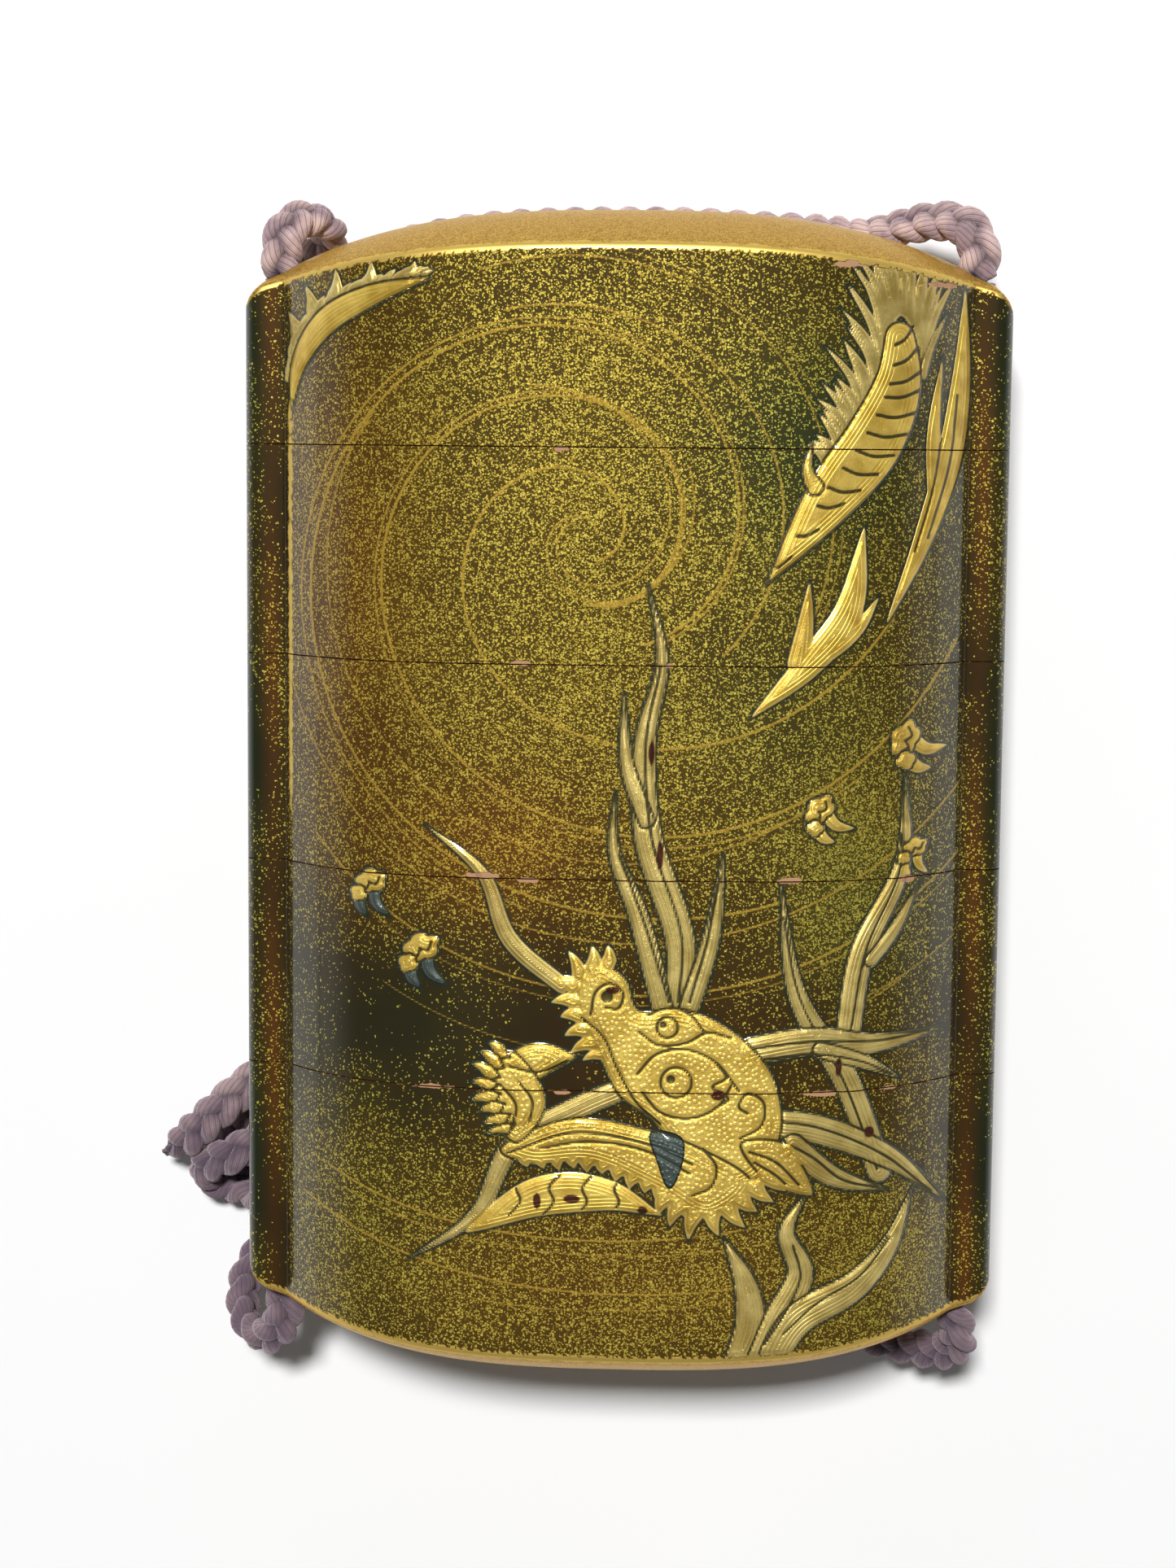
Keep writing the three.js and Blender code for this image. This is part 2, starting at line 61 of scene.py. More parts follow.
# The cord: a flat plait of three strands of soft mauve silk, each strand a twist of
# fine yarns. One length threads the whole stack; its free stretches are plaited here.
mm = 0.001
cord_width = 3.0 * mm
plait_pitch = 6.4 * mm
strand_thickness = 1.72 * mm
strand_swing = 0.80 * mm
strand_dip = 0.42 * mm
strand_sides = 26
strand_step = 0.20 * mm
yarns_per_strand = 9
yarn_relief = 0.05 * mm
yarn_lead = 3.4 * mm
mouth_grip = 1.2 * mm
strand_flatness = 0.86
silk_pale = (0.74, 0.53, 0.49)
silk_mauve = (0.37, 0.25, 0.265)
silk_shadow = (0.035, 0.022, 0.045)
# The painted shade on the cord towards the stack's lower end and on the knot.
silk_painted_shade = (0.080, 0.055, 0.090)


def smooth_curve(points, per_span=12, closed=False):
    """Points along the centripetal curve through a few given points."""
    knots = np.array(points, float)
    if closed:
        ends = np.vstack([knots[-1:], knots, knots[:2]])
    else:
        ends = np.vstack([2 * knots[0] - knots[1], knots, 2 * knots[-1] - knots[-2]])
    fine = []
    for p0, p1, p2, p3 in zip(ends, ends[1:], ends[2:], ends[3:]):
        t1 = np.linalg.norm(p1 - p0) ** 0.5
        t2 = t1 + np.linalg.norm(p2 - p1) ** 0.5
        t3 = t2 + np.linalg.norm(p3 - p2) ** 0.5
        t = np.linspace(t1, t2, per_span, endpoint=False)[:, None]
        a1 = (t1 - t) / t1 * p0 + t / t1 * p1
        a2 = (t2 - t) / (t2 - t1) * p1 + (t - t1) / (t2 - t1) * p2
        a3 = (t3 - t) / (t3 - t2) * p2 + (t - t2) / (t3 - t2) * p3
        b1 = (t2 - t) / t2 * a1 + t / t2 * a2
        b2 = (t3 - t) / (t3 - t1) * a2 + (t - t1) / (t3 - t1) * a3
        fine.append((t2 - t) / (t2 - t1) * b1 + (t - t1) / (t2 - t1) * b2)
    return np.vstack(fine if closed else [*fine, knots[-1:]])


def even_steps(line, step, fewest, whole=int):
    """Points at equal steps along a line, and how far along it each one lies."""
    reach = np.concatenate([[0], np.cumsum(np.linalg.norm(np.diff(line, axis=0), axis=1))])
    even = np.linspace(0, reach[-1], max(fewest, whole(reach[-1] / step)) + 1)
    axes = range(line.shape[1])
    return np.stack([np.interp(even, reach, line[:, k]) for k in axes], axis=1), even


def unit(vectors):
    return vectors / np.maximum(np.linalg.norm(vectors, axis=-1, keepdims=True), 1e-12)


def smooth_ramp(share):
    """0 to 1 as share runs from 0 to 1, level at both ends."""
    return share * share * (3 - 2 * share)


def travelling_frame(line, first_side):
    """Tangents, and two directions across them that turn no more than the line does."""
    along = unit(np.gradient(line, axis=0))
    side = np.zeros_like(line)
    current = np.array(first_side, float)
    for index, direction in enumerate(along):
        current = current - direction * current.dot(direction)
        current = current / np.linalg.norm(current)
        side[index] = current
    return along, side, np.cross(along, side)


def add_object(name, points, faces, values=None, smooth=True):
    """A mesh object from points, faces and named numbers for each point."""
    mesh = bpy.data.meshes.new(name)
    mesh.from_pydata([tuple(p) for p in np.asarray(points, float).tolist()], [], faces)
    for label, numbers in (values or {}).items():
        numbers = np.asarray(numbers, np.float32)
        kind = "FLOAT" if numbers.ndim == 1 else "FLOAT_VECTOR"
        layer = mesh.attributes.new(label, kind, "POINT")
        layer.data.foreach_set("value" if numbers.ndim == 1 else "vector", numbers.ravel())
    mesh.polygons.foreach_set("use_smooth", [smooth] * len(mesh.polygons))
    mesh.update()
    piece = bpy.data.objects.new(name, mesh)
    bpy.context.scene.collection.objects.link(piece)
    return piece


def plait_mesh(route, first_side, pinch_end=0.0, edgeways=None):
    """Points, faces and values of a three-strand plait along a route, in metres."""
    points, faces, turns, depths = [], [], [], []
    line, reach = even_steps(smooth_curve(route, 24), strand_step, 8, round)
    along, side, over = travelling_frame(line, first_side)
    if edgeways:
        start, end = edgeways
        share = np.clip((reach / mm - start) / (end - start), 0, 1)[:, None]
        roll = 0.5 * math.pi * smooth_ramp(share)
        side, over = (side * np.cos(roll) + over * np.sin(roll),
                      over * np.cos(roll) - side * np.sin(roll))
    for strand in range(3):
        phase = 2 * math.pi * (reach / plait_pitch + strand / 3)
        slack = np.clip(reach / mouth_grip, 0, 1)
        squeeze = np.ones_like(reach)
        if pinch_end:
            squeeze = np.clip((reach[-1] - reach) / pinch_end, 0.12, 1) ** 0.7
        swing = strand_swing * squeeze
        centre = (line + side * (np.sin(phase) * swing)[:, None]
                  + over * (np.sin(2 * phase) * strand_dip * squeeze)[:, None])
        lead = unit(np.gradient(centre, axis=0))
        flat_side = unit(side - lead * (side * lead).sum(1)[:, None])
        flat_over = np.cross(lead, flat_side)
        angle = np.linspace(0, 2 * math.pi, strand_sides, endpoint=False)
        for index in range(len(line)):
            twist = angle + 2 * math.pi * reach[index] / yarn_lead
            ridge = yarn_relief * np.abs(np.sin(0.5 * yarns_per_strand * twist))
            radius = (0.5 * strand_thickness * squeeze[index] - yarn_relief + ridge)
            radius = radius * (0.9 + 0.1 * slack[index])
            ring = (centre[index]
                    + np.outer(np.cos(angle) * radius, flat_side[index])
                    + np.outer(np.sin(angle) * radius * strand_flatness, flat_over[index]))
            points.append(ring)
            turns.append(np.stack([np.cos(angle), np.sin(angle),
                                   np.full(strand_sides, reach[index] / mm)], axis=1))
            # How far in towards the plait's middle each point lies, for its painted shade.
            away = np.linalg.norm(ring - line[index], axis=1)
            depths.append(1 - np.clip(away / (0.62 * cord_width), 0, 1))
        first = strand * len(line) * strand_sides
        for ring in range(len(line) - 1):
            low = first + ring * strand_sides
            for corner in range(strand_sides):
                next_corner = (corner + 1) % strand_sides
                faces.append((low + corner, low + next_corner,
                              low + strand_sides + next_corner, low + strand_sides + corner))
        faces.append(tuple(first + corner for corner in reversed(range(strand_sides))))
        last = first + (len(line) - 1) * strand_sides
        faces.append(tuple(last + corner for corner in range(strand_sides)))
    points = np.concatenate(points)
    # Painted shade, darker towards the stack's lower end: the cord's low stretches, its loop round the
    # base and the knot.
    painted_lee_shade = 0.75 * np.clip((-points[:, 1] / mm - 16) / 14, 0, 1)
    values = {"yarn_turn": np.concatenate(turns), "hollow": np.concatenate(depths),
              "painted_lee_shade": painted_lee_shade}
    return points, faces, values, line


def new_material(name):
    material = bpy.data.materials.new(name)
    material.use_nodes = True
    tree = material.node_tree
    return material, tree, tree.nodes["Principled BSDF"]


def plug(tree, target, inputs):
    """Link each socket given to a node's input, or set the input to the value given."""
    for label, value in inputs.items():
        if isinstance(value, bpy.types.NodeSocket):
            tree.links.new(value, target.inputs[label])
        else:
            target.inputs[label].default_value = value


def node(tree, kind, inputs=None, **settings):
    """A shader node with its settings, and its inputs linked or given values."""
    made = tree.nodes.new(kind)
    for label, value in settings.items():
        setattr(made, label, value)
    plug(tree, made, inputs or {})
    return made


def math_node(tree, operation, first, second=0.0, third=0.0):
    made = node(tree, "ShaderNodeMath", {0: first, 1: second, 2: third}, operation=operation)
    return made.outputs[0]


def times(tree, first, second):
    return math_node(tree, "MULTIPLY", first, second)


def times_plus(tree, first, second, added):
    return math_node(tree, "MULTIPLY_ADD", first, second, added)


def blended(tree, share, low, high, most=1.0):
    """A colour from low to high as share runs from 0 to 1, with most of high at the end."""
    if most != 1.0:
        share = times(tree, share, most)
    low, high = ((*c, 1.0) if isinstance(c, tuple) else c for c in (low, high))
    made = node(tree, "ShaderNodeMix", {0: share, 6: low, 7: high}, data_type="RGBA")
    return made.outputs[2]


def step_between(tree, value, low, high):
    """0 below low and 1 above high, with a smooth step between."""
    made = node(tree, "ShaderNodeMapRange", {"Value": value, "From Min": low, "From Max": high},
                interpolation_type="SMOOTHSTEP")
    return made.outputs[0]


def object_place(tree):
    return node(tree, "ShaderNodeTexCoord").outputs["Object"]


def noise(tree, where, scale, detail):
    inputs = {"Vector": where, "Scale": scale, "Detail": detail}
    return node(tree, "ShaderNodeTexNoise", inputs).outputs[0]


def bumped(tree, height, strength, distance):
    inputs = {"Height": height, "Strength": strength, "Distance": distance}
    return node(tree, "ShaderNodeBump", inputs).outputs[0]


def attribute(tree, name, output="Fac"):
    return node(tree, "ShaderNodeAttribute", attribute_name=name).outputs[output]


def attribute_parts(tree, name):
    return node(tree, "ShaderNodeSeparateXYZ", {0: attribute(tree, name, "Vector")}).outputs


def silk_material():
    """Twisted yarns: fine slanting ridges with painted light on top, painted shade, dark and bluish, in
    the hollows, and painted shade towards the stack's lower end.
    """
    material, tree, shader = new_material("plaited_silk")
    turn_x, turn_y, along = attribute_parts(tree, "yarn_turn")
    angle = math_node(tree, "ARCTAN2", turn_y, turn_x)
    slant = math_node(tree, "ADD", angle, times(tree, along, 2 * math.pi / (yarn_lead / mm)))
    ridges = math_node(tree, "ABSOLUTE", math_node(
        tree, "SINE", times(tree, slant, 0.5 * yarns_per_strand)))
    fine = math_node(tree, "SINE", times(tree, slant, 3.0 * yarns_per_strand))
    where = object_place(tree)
    cloud = noise(tree, where, 420.0, 3.0)
    fuzz = noise(tree, where, 5200.0, 4.0)
    tone = blended(tree, step_between(tree, cloud, 0.35, 0.65), silk_mauve, silk_pale)
    # Painted light on the yarns' ridges and painted shade in the grooves between them.
    groove = step_between(tree, ridges, 0.05, 0.62)
    lit = times_plus(tree, groove, 0.40, 0.30)
    lit = times_plus(tree, step_between(tree, fine, -0.9, 0.3), 0.30, lit)
    tone = blended(tree, lit, silk_shadow, tone)
    # Painted shade, deeper towards the stack's lower end and on the knot.
    tone = blended(tree, attribute(tree, "painted_lee_shade"), tone, silk_painted_shade)
    # Painted shade deep in the plait, where the strands cross.
    sunk = step_between(tree, attribute(tree, "hollow"), 0.22, 0.66)
    tone = blended(tree, sunk, tone, silk_shadow, most=0.85)
    height = times_plus(tree, fine, 0.30, ridges)
    height = times_plus(tree, fuzz, 0.9, height)
    plug(tree, shader, {
        "Base Color": tone, "Normal": bumped(tree, height, 0.7, 0.00006), "Roughness": 0.78,
        "Sheen Weight": 0.45, "Sheen Roughness": 0.5, "Sheen Tint": (0.9, 0.75, 0.8, 1.0),
        "Specular IOR Level": 0.25,
    })
    return material


plaited_silk = silk_material()

# Routes of the three free stretches, in millimetres: out of the bores' mouths, over the
# shoulders of the stack, and along the floor in its lee to the knot.
cord_routes = {
    "cord_left": [
        (-26.4, 39.9, 11.4), (-26.5, 41.5, 11.5), (-26.3, 42.8, 11.1), (-25.7, 43.7, 10.3),
        (-24.7, 44.2, 8.9), (-23.7, 43.8, 7.3), (-23.5, 43.2, 5.7), (-24.2, 42.3, 4.3),
        (-25.6, 40.9, 3.1), (-26.7, 38.5, 2.2), (-27.1, 35.4, 1.7), (-27.2, 31.0, 1.7),
        (-27.1, 24.0, 1.7), (-27.2, 14.0, 1.7), (-27.0, 4.0, 1.7), (-27.1, -6.0, 1.7),
        (-27.2, -14.0, 1.8), (-27.7, -19.0, 2.4), (-28.6, -22.4, 3.2),
    ],
    "cord_right": [
        (26.4, 39.9, 11.4), (26.5, 41.5, 11.5), (26.2, 42.8, 11.2), (25.4, 43.8, 10.6),
        (24.1, 44.2, 9.5), (22.6, 44.2, 8.3), (21.0, 43.9, 7.0), (19.3, 43.7, 5.5),
        (17.6, 43.6, 4.1), (15.6, 43.65, 2.9), (13.2, 43.8, 2.0), (10.0, 43.95, 1.6),
        (5.0, 44.2, 1.6), (0.0, 44.25, 1.6), (-6.0, 44.15, 1.6), (-11.0, 43.85, 1.6),
        (-15.6, 43.15, 1.6), (-19.2, 42.1, 1.6), (-22.2, 40.0, 1.7), (-23.9, 36.0, 1.7),
        (-23.8, 28.0, 1.7), (-23.6, 20.0, 1.7), (-23.5, 10.0, 1.7), (-23.7, 0.0, 1.7),
        (-23.6, -10.0, 1.7), (-23.8, -18.0, 1.8), (-24.3, -23.0, 2.4), (-25.3, -26.0, 3.0),
    ],
    "cord_bottom": [
        (-26.4, -39.9, 11.4), (-26.5, -41.7, 11.4), (-27.2, -43.3, 10.8), (-28.5, -44.3, 9.4),
        (-29.9, -44.1, 7.6), (-30.7, -42.7, 5.8), (-30.6, -40.8, 4.2), (-29.5, -39.0, 2.9),
        (-27.6, -38.2, 2.1), (-25.4, -38.6, 1.8), (-23.3, -40.3, 1.7), (-20.6, -42.2, 1.7),
        (-16.8, -43.4, 1.7), (-9.0, -44.2, 1.7), (0.0, -44.3, 1.7), (8.0, -44.3, 1.7),
        (13.0, -44.3, 1.8), (17.0, -44.6, 2.4), (20.4, -45.0, 3.6), (23.4, -45.2, 5.3),
        (25.6, -44.9, 7.3), (26.8, -43.8, 9.3), (26.8, -42.2, 10.8), (26.4, -39.9, 11.4),
    ],
}


def metres(points):
    return [tuple(value * mm for value in point) for point in points]


def place_plait(name, points, faces, values, lowest):
    points[:, 2] = np.maximum(points[:, 2], lowest)
    plait = add_object(name + "_plait", points, faces, values)
    plait.data.materials.append(plaited_silk)
    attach(plait, "root")
    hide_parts(name)
    return plait


# Behind the dome the plait turns on edge, between 9 and 19 mm from its mouth.
turned_edgeways = {"cord_right": (9, 19)}
plaits = {}
for name, route in cord_routes.items():
    points, faces, values, line = plait_mesh(
        metres(route), (1, 0, 0), edgeways=turned_edgeways.get(name))
    plaits[name] = (place_plait(name, points, faces, values, 0.02 * mm), line)


# The knot that joins both ends of the cord: the plait doubled on itself and drawn
# tight, with one short end cut off and pinched to a point.
knot_routes = {
    "knot_cut_end": [
        (-28.4, -23.4, 3.6), (-30.2, -24.6, 5.4), (-32.4, -26.4, 6.1), (-34.4, -28.4, 5.6),
        (-36.0, -29.8, 4.6), (-37.4, -30.8, 3.8),
    ],
    "knot_turn": [
        (-27.2, -27.4, 4.4), (-29.4, -29.2, 5.8), (-31.8, -30.4, 5.9), (-33.9, -31.6, 4.6),
        (-34.0, -33.0, 2.8), (-32.0, -33.8, 2.0), (-29.6, -34.0, 3.6), (-27.6, -33.2, 5.0),
    ],
    "knot_under": [
        (-26.9, -25.8, 2.6), (-29.6, -26.4, 2.2), (-32.2, -28.2, 2.0), (-33.0, -30.2, 1.9),
        (-31.2, -31.4, 2.0), (-28.4, -31.0, 2.4),
    ],
}
knot_points, knot_faces, knot_values = [], [], []
for name, route in knot_routes.items():
    pinch = 2.6 * mm if name == "knot_cut_end" else 0.0
    points, faces, values, line = plait_mesh(metres(route), (0.5, -0.8, 0.3), pinch)
    start = sum(len(part) for part in knot_points)
    knot_points.append(points)
    knot_faces += [tuple(corner + start for corner in face) for face in faces]
    knot_values.append(values)
joined_values = {label: np.concatenate([values[label] for values in knot_values])
                 for label in ("yarn_turn", "hollow", "painted_lee_shade")}
knot = place_plait("cord_knot", np.concatenate(knot_points), knot_faces, joined_values, 0.25 * mm)

for name, (plait, line) in plaits.items():
    length = float(np.linalg.norm(np.diff(line, axis=0), axis=1).sum())


# The drawing: a dragon's head, tail and claws rising through whirling water, laid on in
# raised gold lacquer. Figures are built up first, then cut with fine lines and dotted.
half_width = 29.0
runner_width = 3.1
panel_half = half_width - runner_width
runner_half = 3.0
front_rise = 8.4
middle_height = 11.4
side_end = 38.5
drawing_grid = 0.08
drawing_left, drawing_low = -28.0, -46.0
drawing_columns, drawing_rows = 701, 1151
relief_shoulder = 0.15
relief_crown = 0.14
cut_depth = 0.09
cut_half_width = 0.10
whirl_rise = 0.02


def panel_half_thickness(x):
    across = np.minimum(np.abs(x) / panel_half, 1)
    return runner_half + front_rise * (1 - across ** 4)


def spaced(line, step):
    return even_steps(line, step, 2)[0]


def stroke_outline(points, root, belly):
    """A tapering stroke: its width at the root, the width of its belly, a sharp tip."""
    spine = spaced(smooth_curve(points), 0.15)
    share = np.linspace(0, 1, len(spine))[:, None]
    along = unit(np.gradient(spine, axis=0))
    rounding = np.clip(share * 0.15 * len(spine) / max(root, 0.1), 0, 1)
    reach = root * (1 - share) + belly * np.sin(np.pi * share)
    reach = reach * np.sqrt(rounding * (2 - rounding))
    across = np.stack([-along[:, 1], along[:, 0]], axis=1)
    return np.vstack([spine - across * reach, (spine + across * reach)[::-1]])


def fringe_outlines(points, locks, reach, lean):
    """A row of pointed locks along a curve, each leaning along the row."""
    edge = spaced(smooth_curve(points), 0.1)
    along = unit(np.gradient(edge, axis=0))
    outlines = []
    for lock in range(locks):
        first, last = (int(round(k / locks * (len(edge) - 1))) for k in (lock, lock + 1.25))
        last = min(last, len(edge) - 1)
        middle = (first + last) // 2
        d = along[middle]
        size = 0.85 + 0.3 * ((lock * 7) % 5) / 4
        tip = edge[middle] + np.array([d[1], -d[0]]) * reach * size + d * lean
        back = edge[middle] - np.array([d[1], -d[0]]) * np.sign(reach) * 0.9
        swell = 0.5 * (edge[first] + tip) + np.array([d[1], -d[0]]) * 0.1 * reach - d * 0.12
        outlines.append(smooth_curve([edge[first], swell, tip], 8)[:-1])
        outlines[-1] = np.vstack([outlines[-1], tip, 0.5 * (edge[last] + tip) - d * 0.1,
                                  edge[last], back])
    return outlines


figure_strokes = {
    "weed_left": ([(20.2, -28.0), (17.2, -20.0), (13.4, -13.4), (12.0, -4.8)], 0.9, 0.4),
    "weed_right": ([(17.2, -17.0), (18.2, -10.4), (21.2, -3.8), (21.2, 3.4)], 0.9, 0.35),
    "weed_tip": ([(18.6, -11.4), (20.8, -8.6), (22.5, -5.4)], 0.5, 0.2),
    "tail": ([(20.1, 36.2), (20.1, 31.8), (18.4, 27.6), (15.3, 23.5), (10.6, 17.0)], 0.9, 1.75),
    "tail_hook": ([(14.4, 23.6), (13.5, 25.4), (13.9, 27.6)], 0.75, 0.0),
    "far_flame": ([(19.6, 14.2), (22.2, 20.2), (24.2, 26.4), (25.0, 32.0), (25.2, 39.2)],
                  0.05, 0.95),
    "far_flame_inner": ([(23.3, 23.0), (22.9, 28.0), (23.5, 34.0)], 0.75, 0.1),
    "near_flame": ([(9.7, 7.3), (13.8, 11.2), (16.6, 14.9), (17.8, 21.4)], 0.05, 1.1),
    "near_flame_left": ([(12.9, 10.5), (13.5, 13.8), (13.8, 17.4)], 0.8, 0.2),
    "near_flame_right": ([(15.0, 11.8), (17.4, 13.8), (19.0, 16.2)], 0.6, 0.2),
    "crest_tall": ([(4.4, -15.2), (4.7, -9.6), (2.2, -1.6), (1.9, 5.4), (3.1, 11.4),
                    (2.0, 17.0)], 1.0, 0.45),
    "crest_left": ([(2.3, -1.0), (0.6, 3.8), (0.3, 9.0)], 0.6, 0.2),
    "crest_low": ([(3.6, -15.0), (1.5, -7.4), (-0.3, -2.6), (-0.2, 1.8)], 0.75, 0.3),
    "crest_right": ([(5.2, -15.0), (7.0, -9.0), (7.8, -2.8)], 0.75, 0.25),
    "whisker_high": ([(-3.6, -13.2), (-8.0, -9.4), (-10.0, -4.6), (-14.4, -1.0)], 0.6, 0.25),
    "whisker_long": ([(2.0, -20.0), (-2.6, -22.0), (-7.6, -25.0), (-10.4, -30.4),
                      (-15.6, -34.2)], 0.8, 0.35),
    "horn_high": ([(9.0, -17.8), (14.6, -16.9), (19.4, -17.3), (25.0, -16.7)], 1.05, 0.4),
    "horn_high_tine": ([(14.6, -17.4), (18.4, -18.6), (21.4, -20.2)], 0.6, 0.25),
    "horn_low": ([(9.4, -23.0), (15.0, -23.6), (20.6, -26.2), (25.4, -30.6)], 1.0, 0.5),
    "horn_low_tine": ([(12.6, -24.2), (16.2, -27.2), (20.6, -28.7)], 0.9, 0.35),
    "low_flame_left": ([(9.2, -41.8), (10.3, -38.4), (9.9, -35.4), (8.2, -31.8)], 0.9, 0.55),
    "low_flame_mid": ([(10.6, -41.8), (12.3, -38.2), (14.0, -34.6), (12.9, -31.4), (14.4, -28.4)],
                      0.8, 0.6),
    "low_flame_right": ([(11.6, -41.8), (13.8, -38.2), (18.2, -35.8), (20.8, -33.0), (22.5, -28.8)],
                        1.1, 0.6),
    "back_curl": ([(-14.2, 39.0), (-18.8, 37.7), (-22.4, 35.8), (-24.6, 32.8),
                   (-25.3, 29.0)], 0.1, 0.95),
    "tongue": ([(-11.2, -31.8), (-5.6, -28.9), (-0.6, -28.7), (3.6, -30.2)], 0.1, 1.5),
    "chin_leaf": ([(-8.8, -20.6), (-6.0, -18.6), (-2.8, -18.2)], 1.0, 0.9),
}
figure_blobs = {
    "skull": [(-3.0, -13.4), (-1.6, -11.2), (0.6, -12.2), (1.6, -14.6), (4.6, -14.4),
              (8.2, -15.8), (11.4, -19.0), (12.4, -23.2), (11.0, -27.0), (7.2, -28.2),
              (4.6, -25.2), (2.6, -22.8), (0.4, -21.2), (-1.2, -18.2)],
    "jaw": [(-8.6, -25.4), (-3.4, -22.9), (2.2, -23.6), (6.4, -25.0), (10.2, -27.6),
            (7.0, -30.2), (3.0, -28.2), (-1.8, -26.2), (-6.4, -26.4)],
    "chin": [(-9.8, -19.2), (-8.0, -17.8), (-6.0, -19.6), (-5.2, -22.0), (-7.4, -24.8),
             (-9.4, -22.6)],
    "ear": [(9.4, -24.6), (12.6, -24.6), (14.8, -28.6), (11.6, -27.6)],
}
figure_fringes = {
    "nose_locks": ([(0.0, -10.9), (-3.2, -12.2), (-2.6, -15.6), (-0.8, -18.4)], 9, 1.6, -0.3),
    "chin_locks": ([(-8.4, -17.4), (-9.6, -20.4), (-8.0, -24.2)], 8, 1.4, -0.2),
    "teeth": ([(-7.4, -25.9), (-2.0, -26.0), (3.2, -28.0), (6.0, -29.6)], 12, 0.95, 0.15),
    "mane_locks": ([(3.2, -28.2), (7.0, -30.0), (10.6, -27.6), (13.0, -24.6)], 10, 2.0, 0.3),
}
# Each claw's place, the way its talons point, its size and whether they are dark steel.
claw_places = [((-18.9, -5.6), -1.35, 1.0, True), ((-15.0, -10.4), -1.25, 1.15, True),
               ((21.0, 5.2), -0.5, 1.15, False), ((14.6, 0.2), -0.8, 1.0, False),
               ((21.9, -2.7), -1.4, 0.8, False)]
# Each pad's place ahead and beside, its length and width and its lobes; each talon's
# place ahead and beside, its reach and its hook.
claw_pads = ((0.0, 0.35, 0.85, 1.15, 2.5), (0.75, -0.85, 0.6, 0.62, 2))
claw_talons = ((0.5, 0.5, 2.9, 1.5), (0.9, -0.8, 2.6, 0.6))


def claw_outlines(place, turn, size):
    """A clawed foot: two scalloped pads of hide, and the two hooked talons before them."""
    centre = np.array(place)
    heading = np.array([math.cos(turn), math.sin(turn)])
    side = np.array([-heading[1], heading[0]])
    around = np.linspace(0, 2 * np.pi, 72, endpoint=False)
    pads = []
    for ahead, beside, long, wide, lobes in claw_pads:
        reach = 0.9 + 0.26 * np.abs(np.sin(lobes * around))
        pads.append(centre + size * (
            heading * (ahead + long * reach * np.cos(around))[:, None]
            + side * (beside + wide * reach * np.sin(around))[:, None]))
    talons = []
    for ahead, beside, reach, hook in claw_talons:
        spine = [centre + (heading * ahead + side * beside) * size,
                 centre + (heading * (0.5 * ahead + 0.5 * reach) + side * (beside - 0.1)) * size,
                 centre + (heading * reach + side * (beside + 0.5 * hook)) * size]
        talons.append(stroke_outline(spine, 0.42 * size, 0.16 * size))
    return talons, pads


# Whirls of the water: spiral arms round one centre, each a start angle, a start radius,
# a growth for each radian, an end angle and a weight, with wide arcs under the head.
whirl_centre = np.array([-2.7, 20.3])
whirl_arms = [
    (-60, 9.0, 0.195, 300, 1.0), (-55, 9.5, 0.195, 262, 0.8), (-90, 4.76, 0.238, 345, 1.0),
    (-82, 5.1, 0.238, 320, 0.7), (-60, 1.9, 0.354, 346, 1.0), (20, 1.0, 0.34, 395, 0.8),
    (120, 1.3, 0.36, 470, 0.8), (-40, 13.4, 0.10, 110, 0.9), (-30, 17.6, 0.07, 112, 0.8),
    (-26, 18.3, 0.07, 100, 0.6), (150, 18.0, 0.13, 318, 0.7), (205, 25.2, 0.14, 335, 0.8),
    (228, 30.6, 0.12, 322, 0.9), (232, 31.6, 0.12, 318, 0.6), (246, 36.6, 0.10, 306, 0.6),
    (248, 51.6, 0.05, 286, 0.8), (250, 53.0, 0.05, 292, 0.6), (247, 55.2, 0.05, 282, 0.8),
    (262, 57.6, 0.04, 296, 0.6), (300, 40.0, 0.12, 332, 0.6),
]
whirl_half_width = 0.09

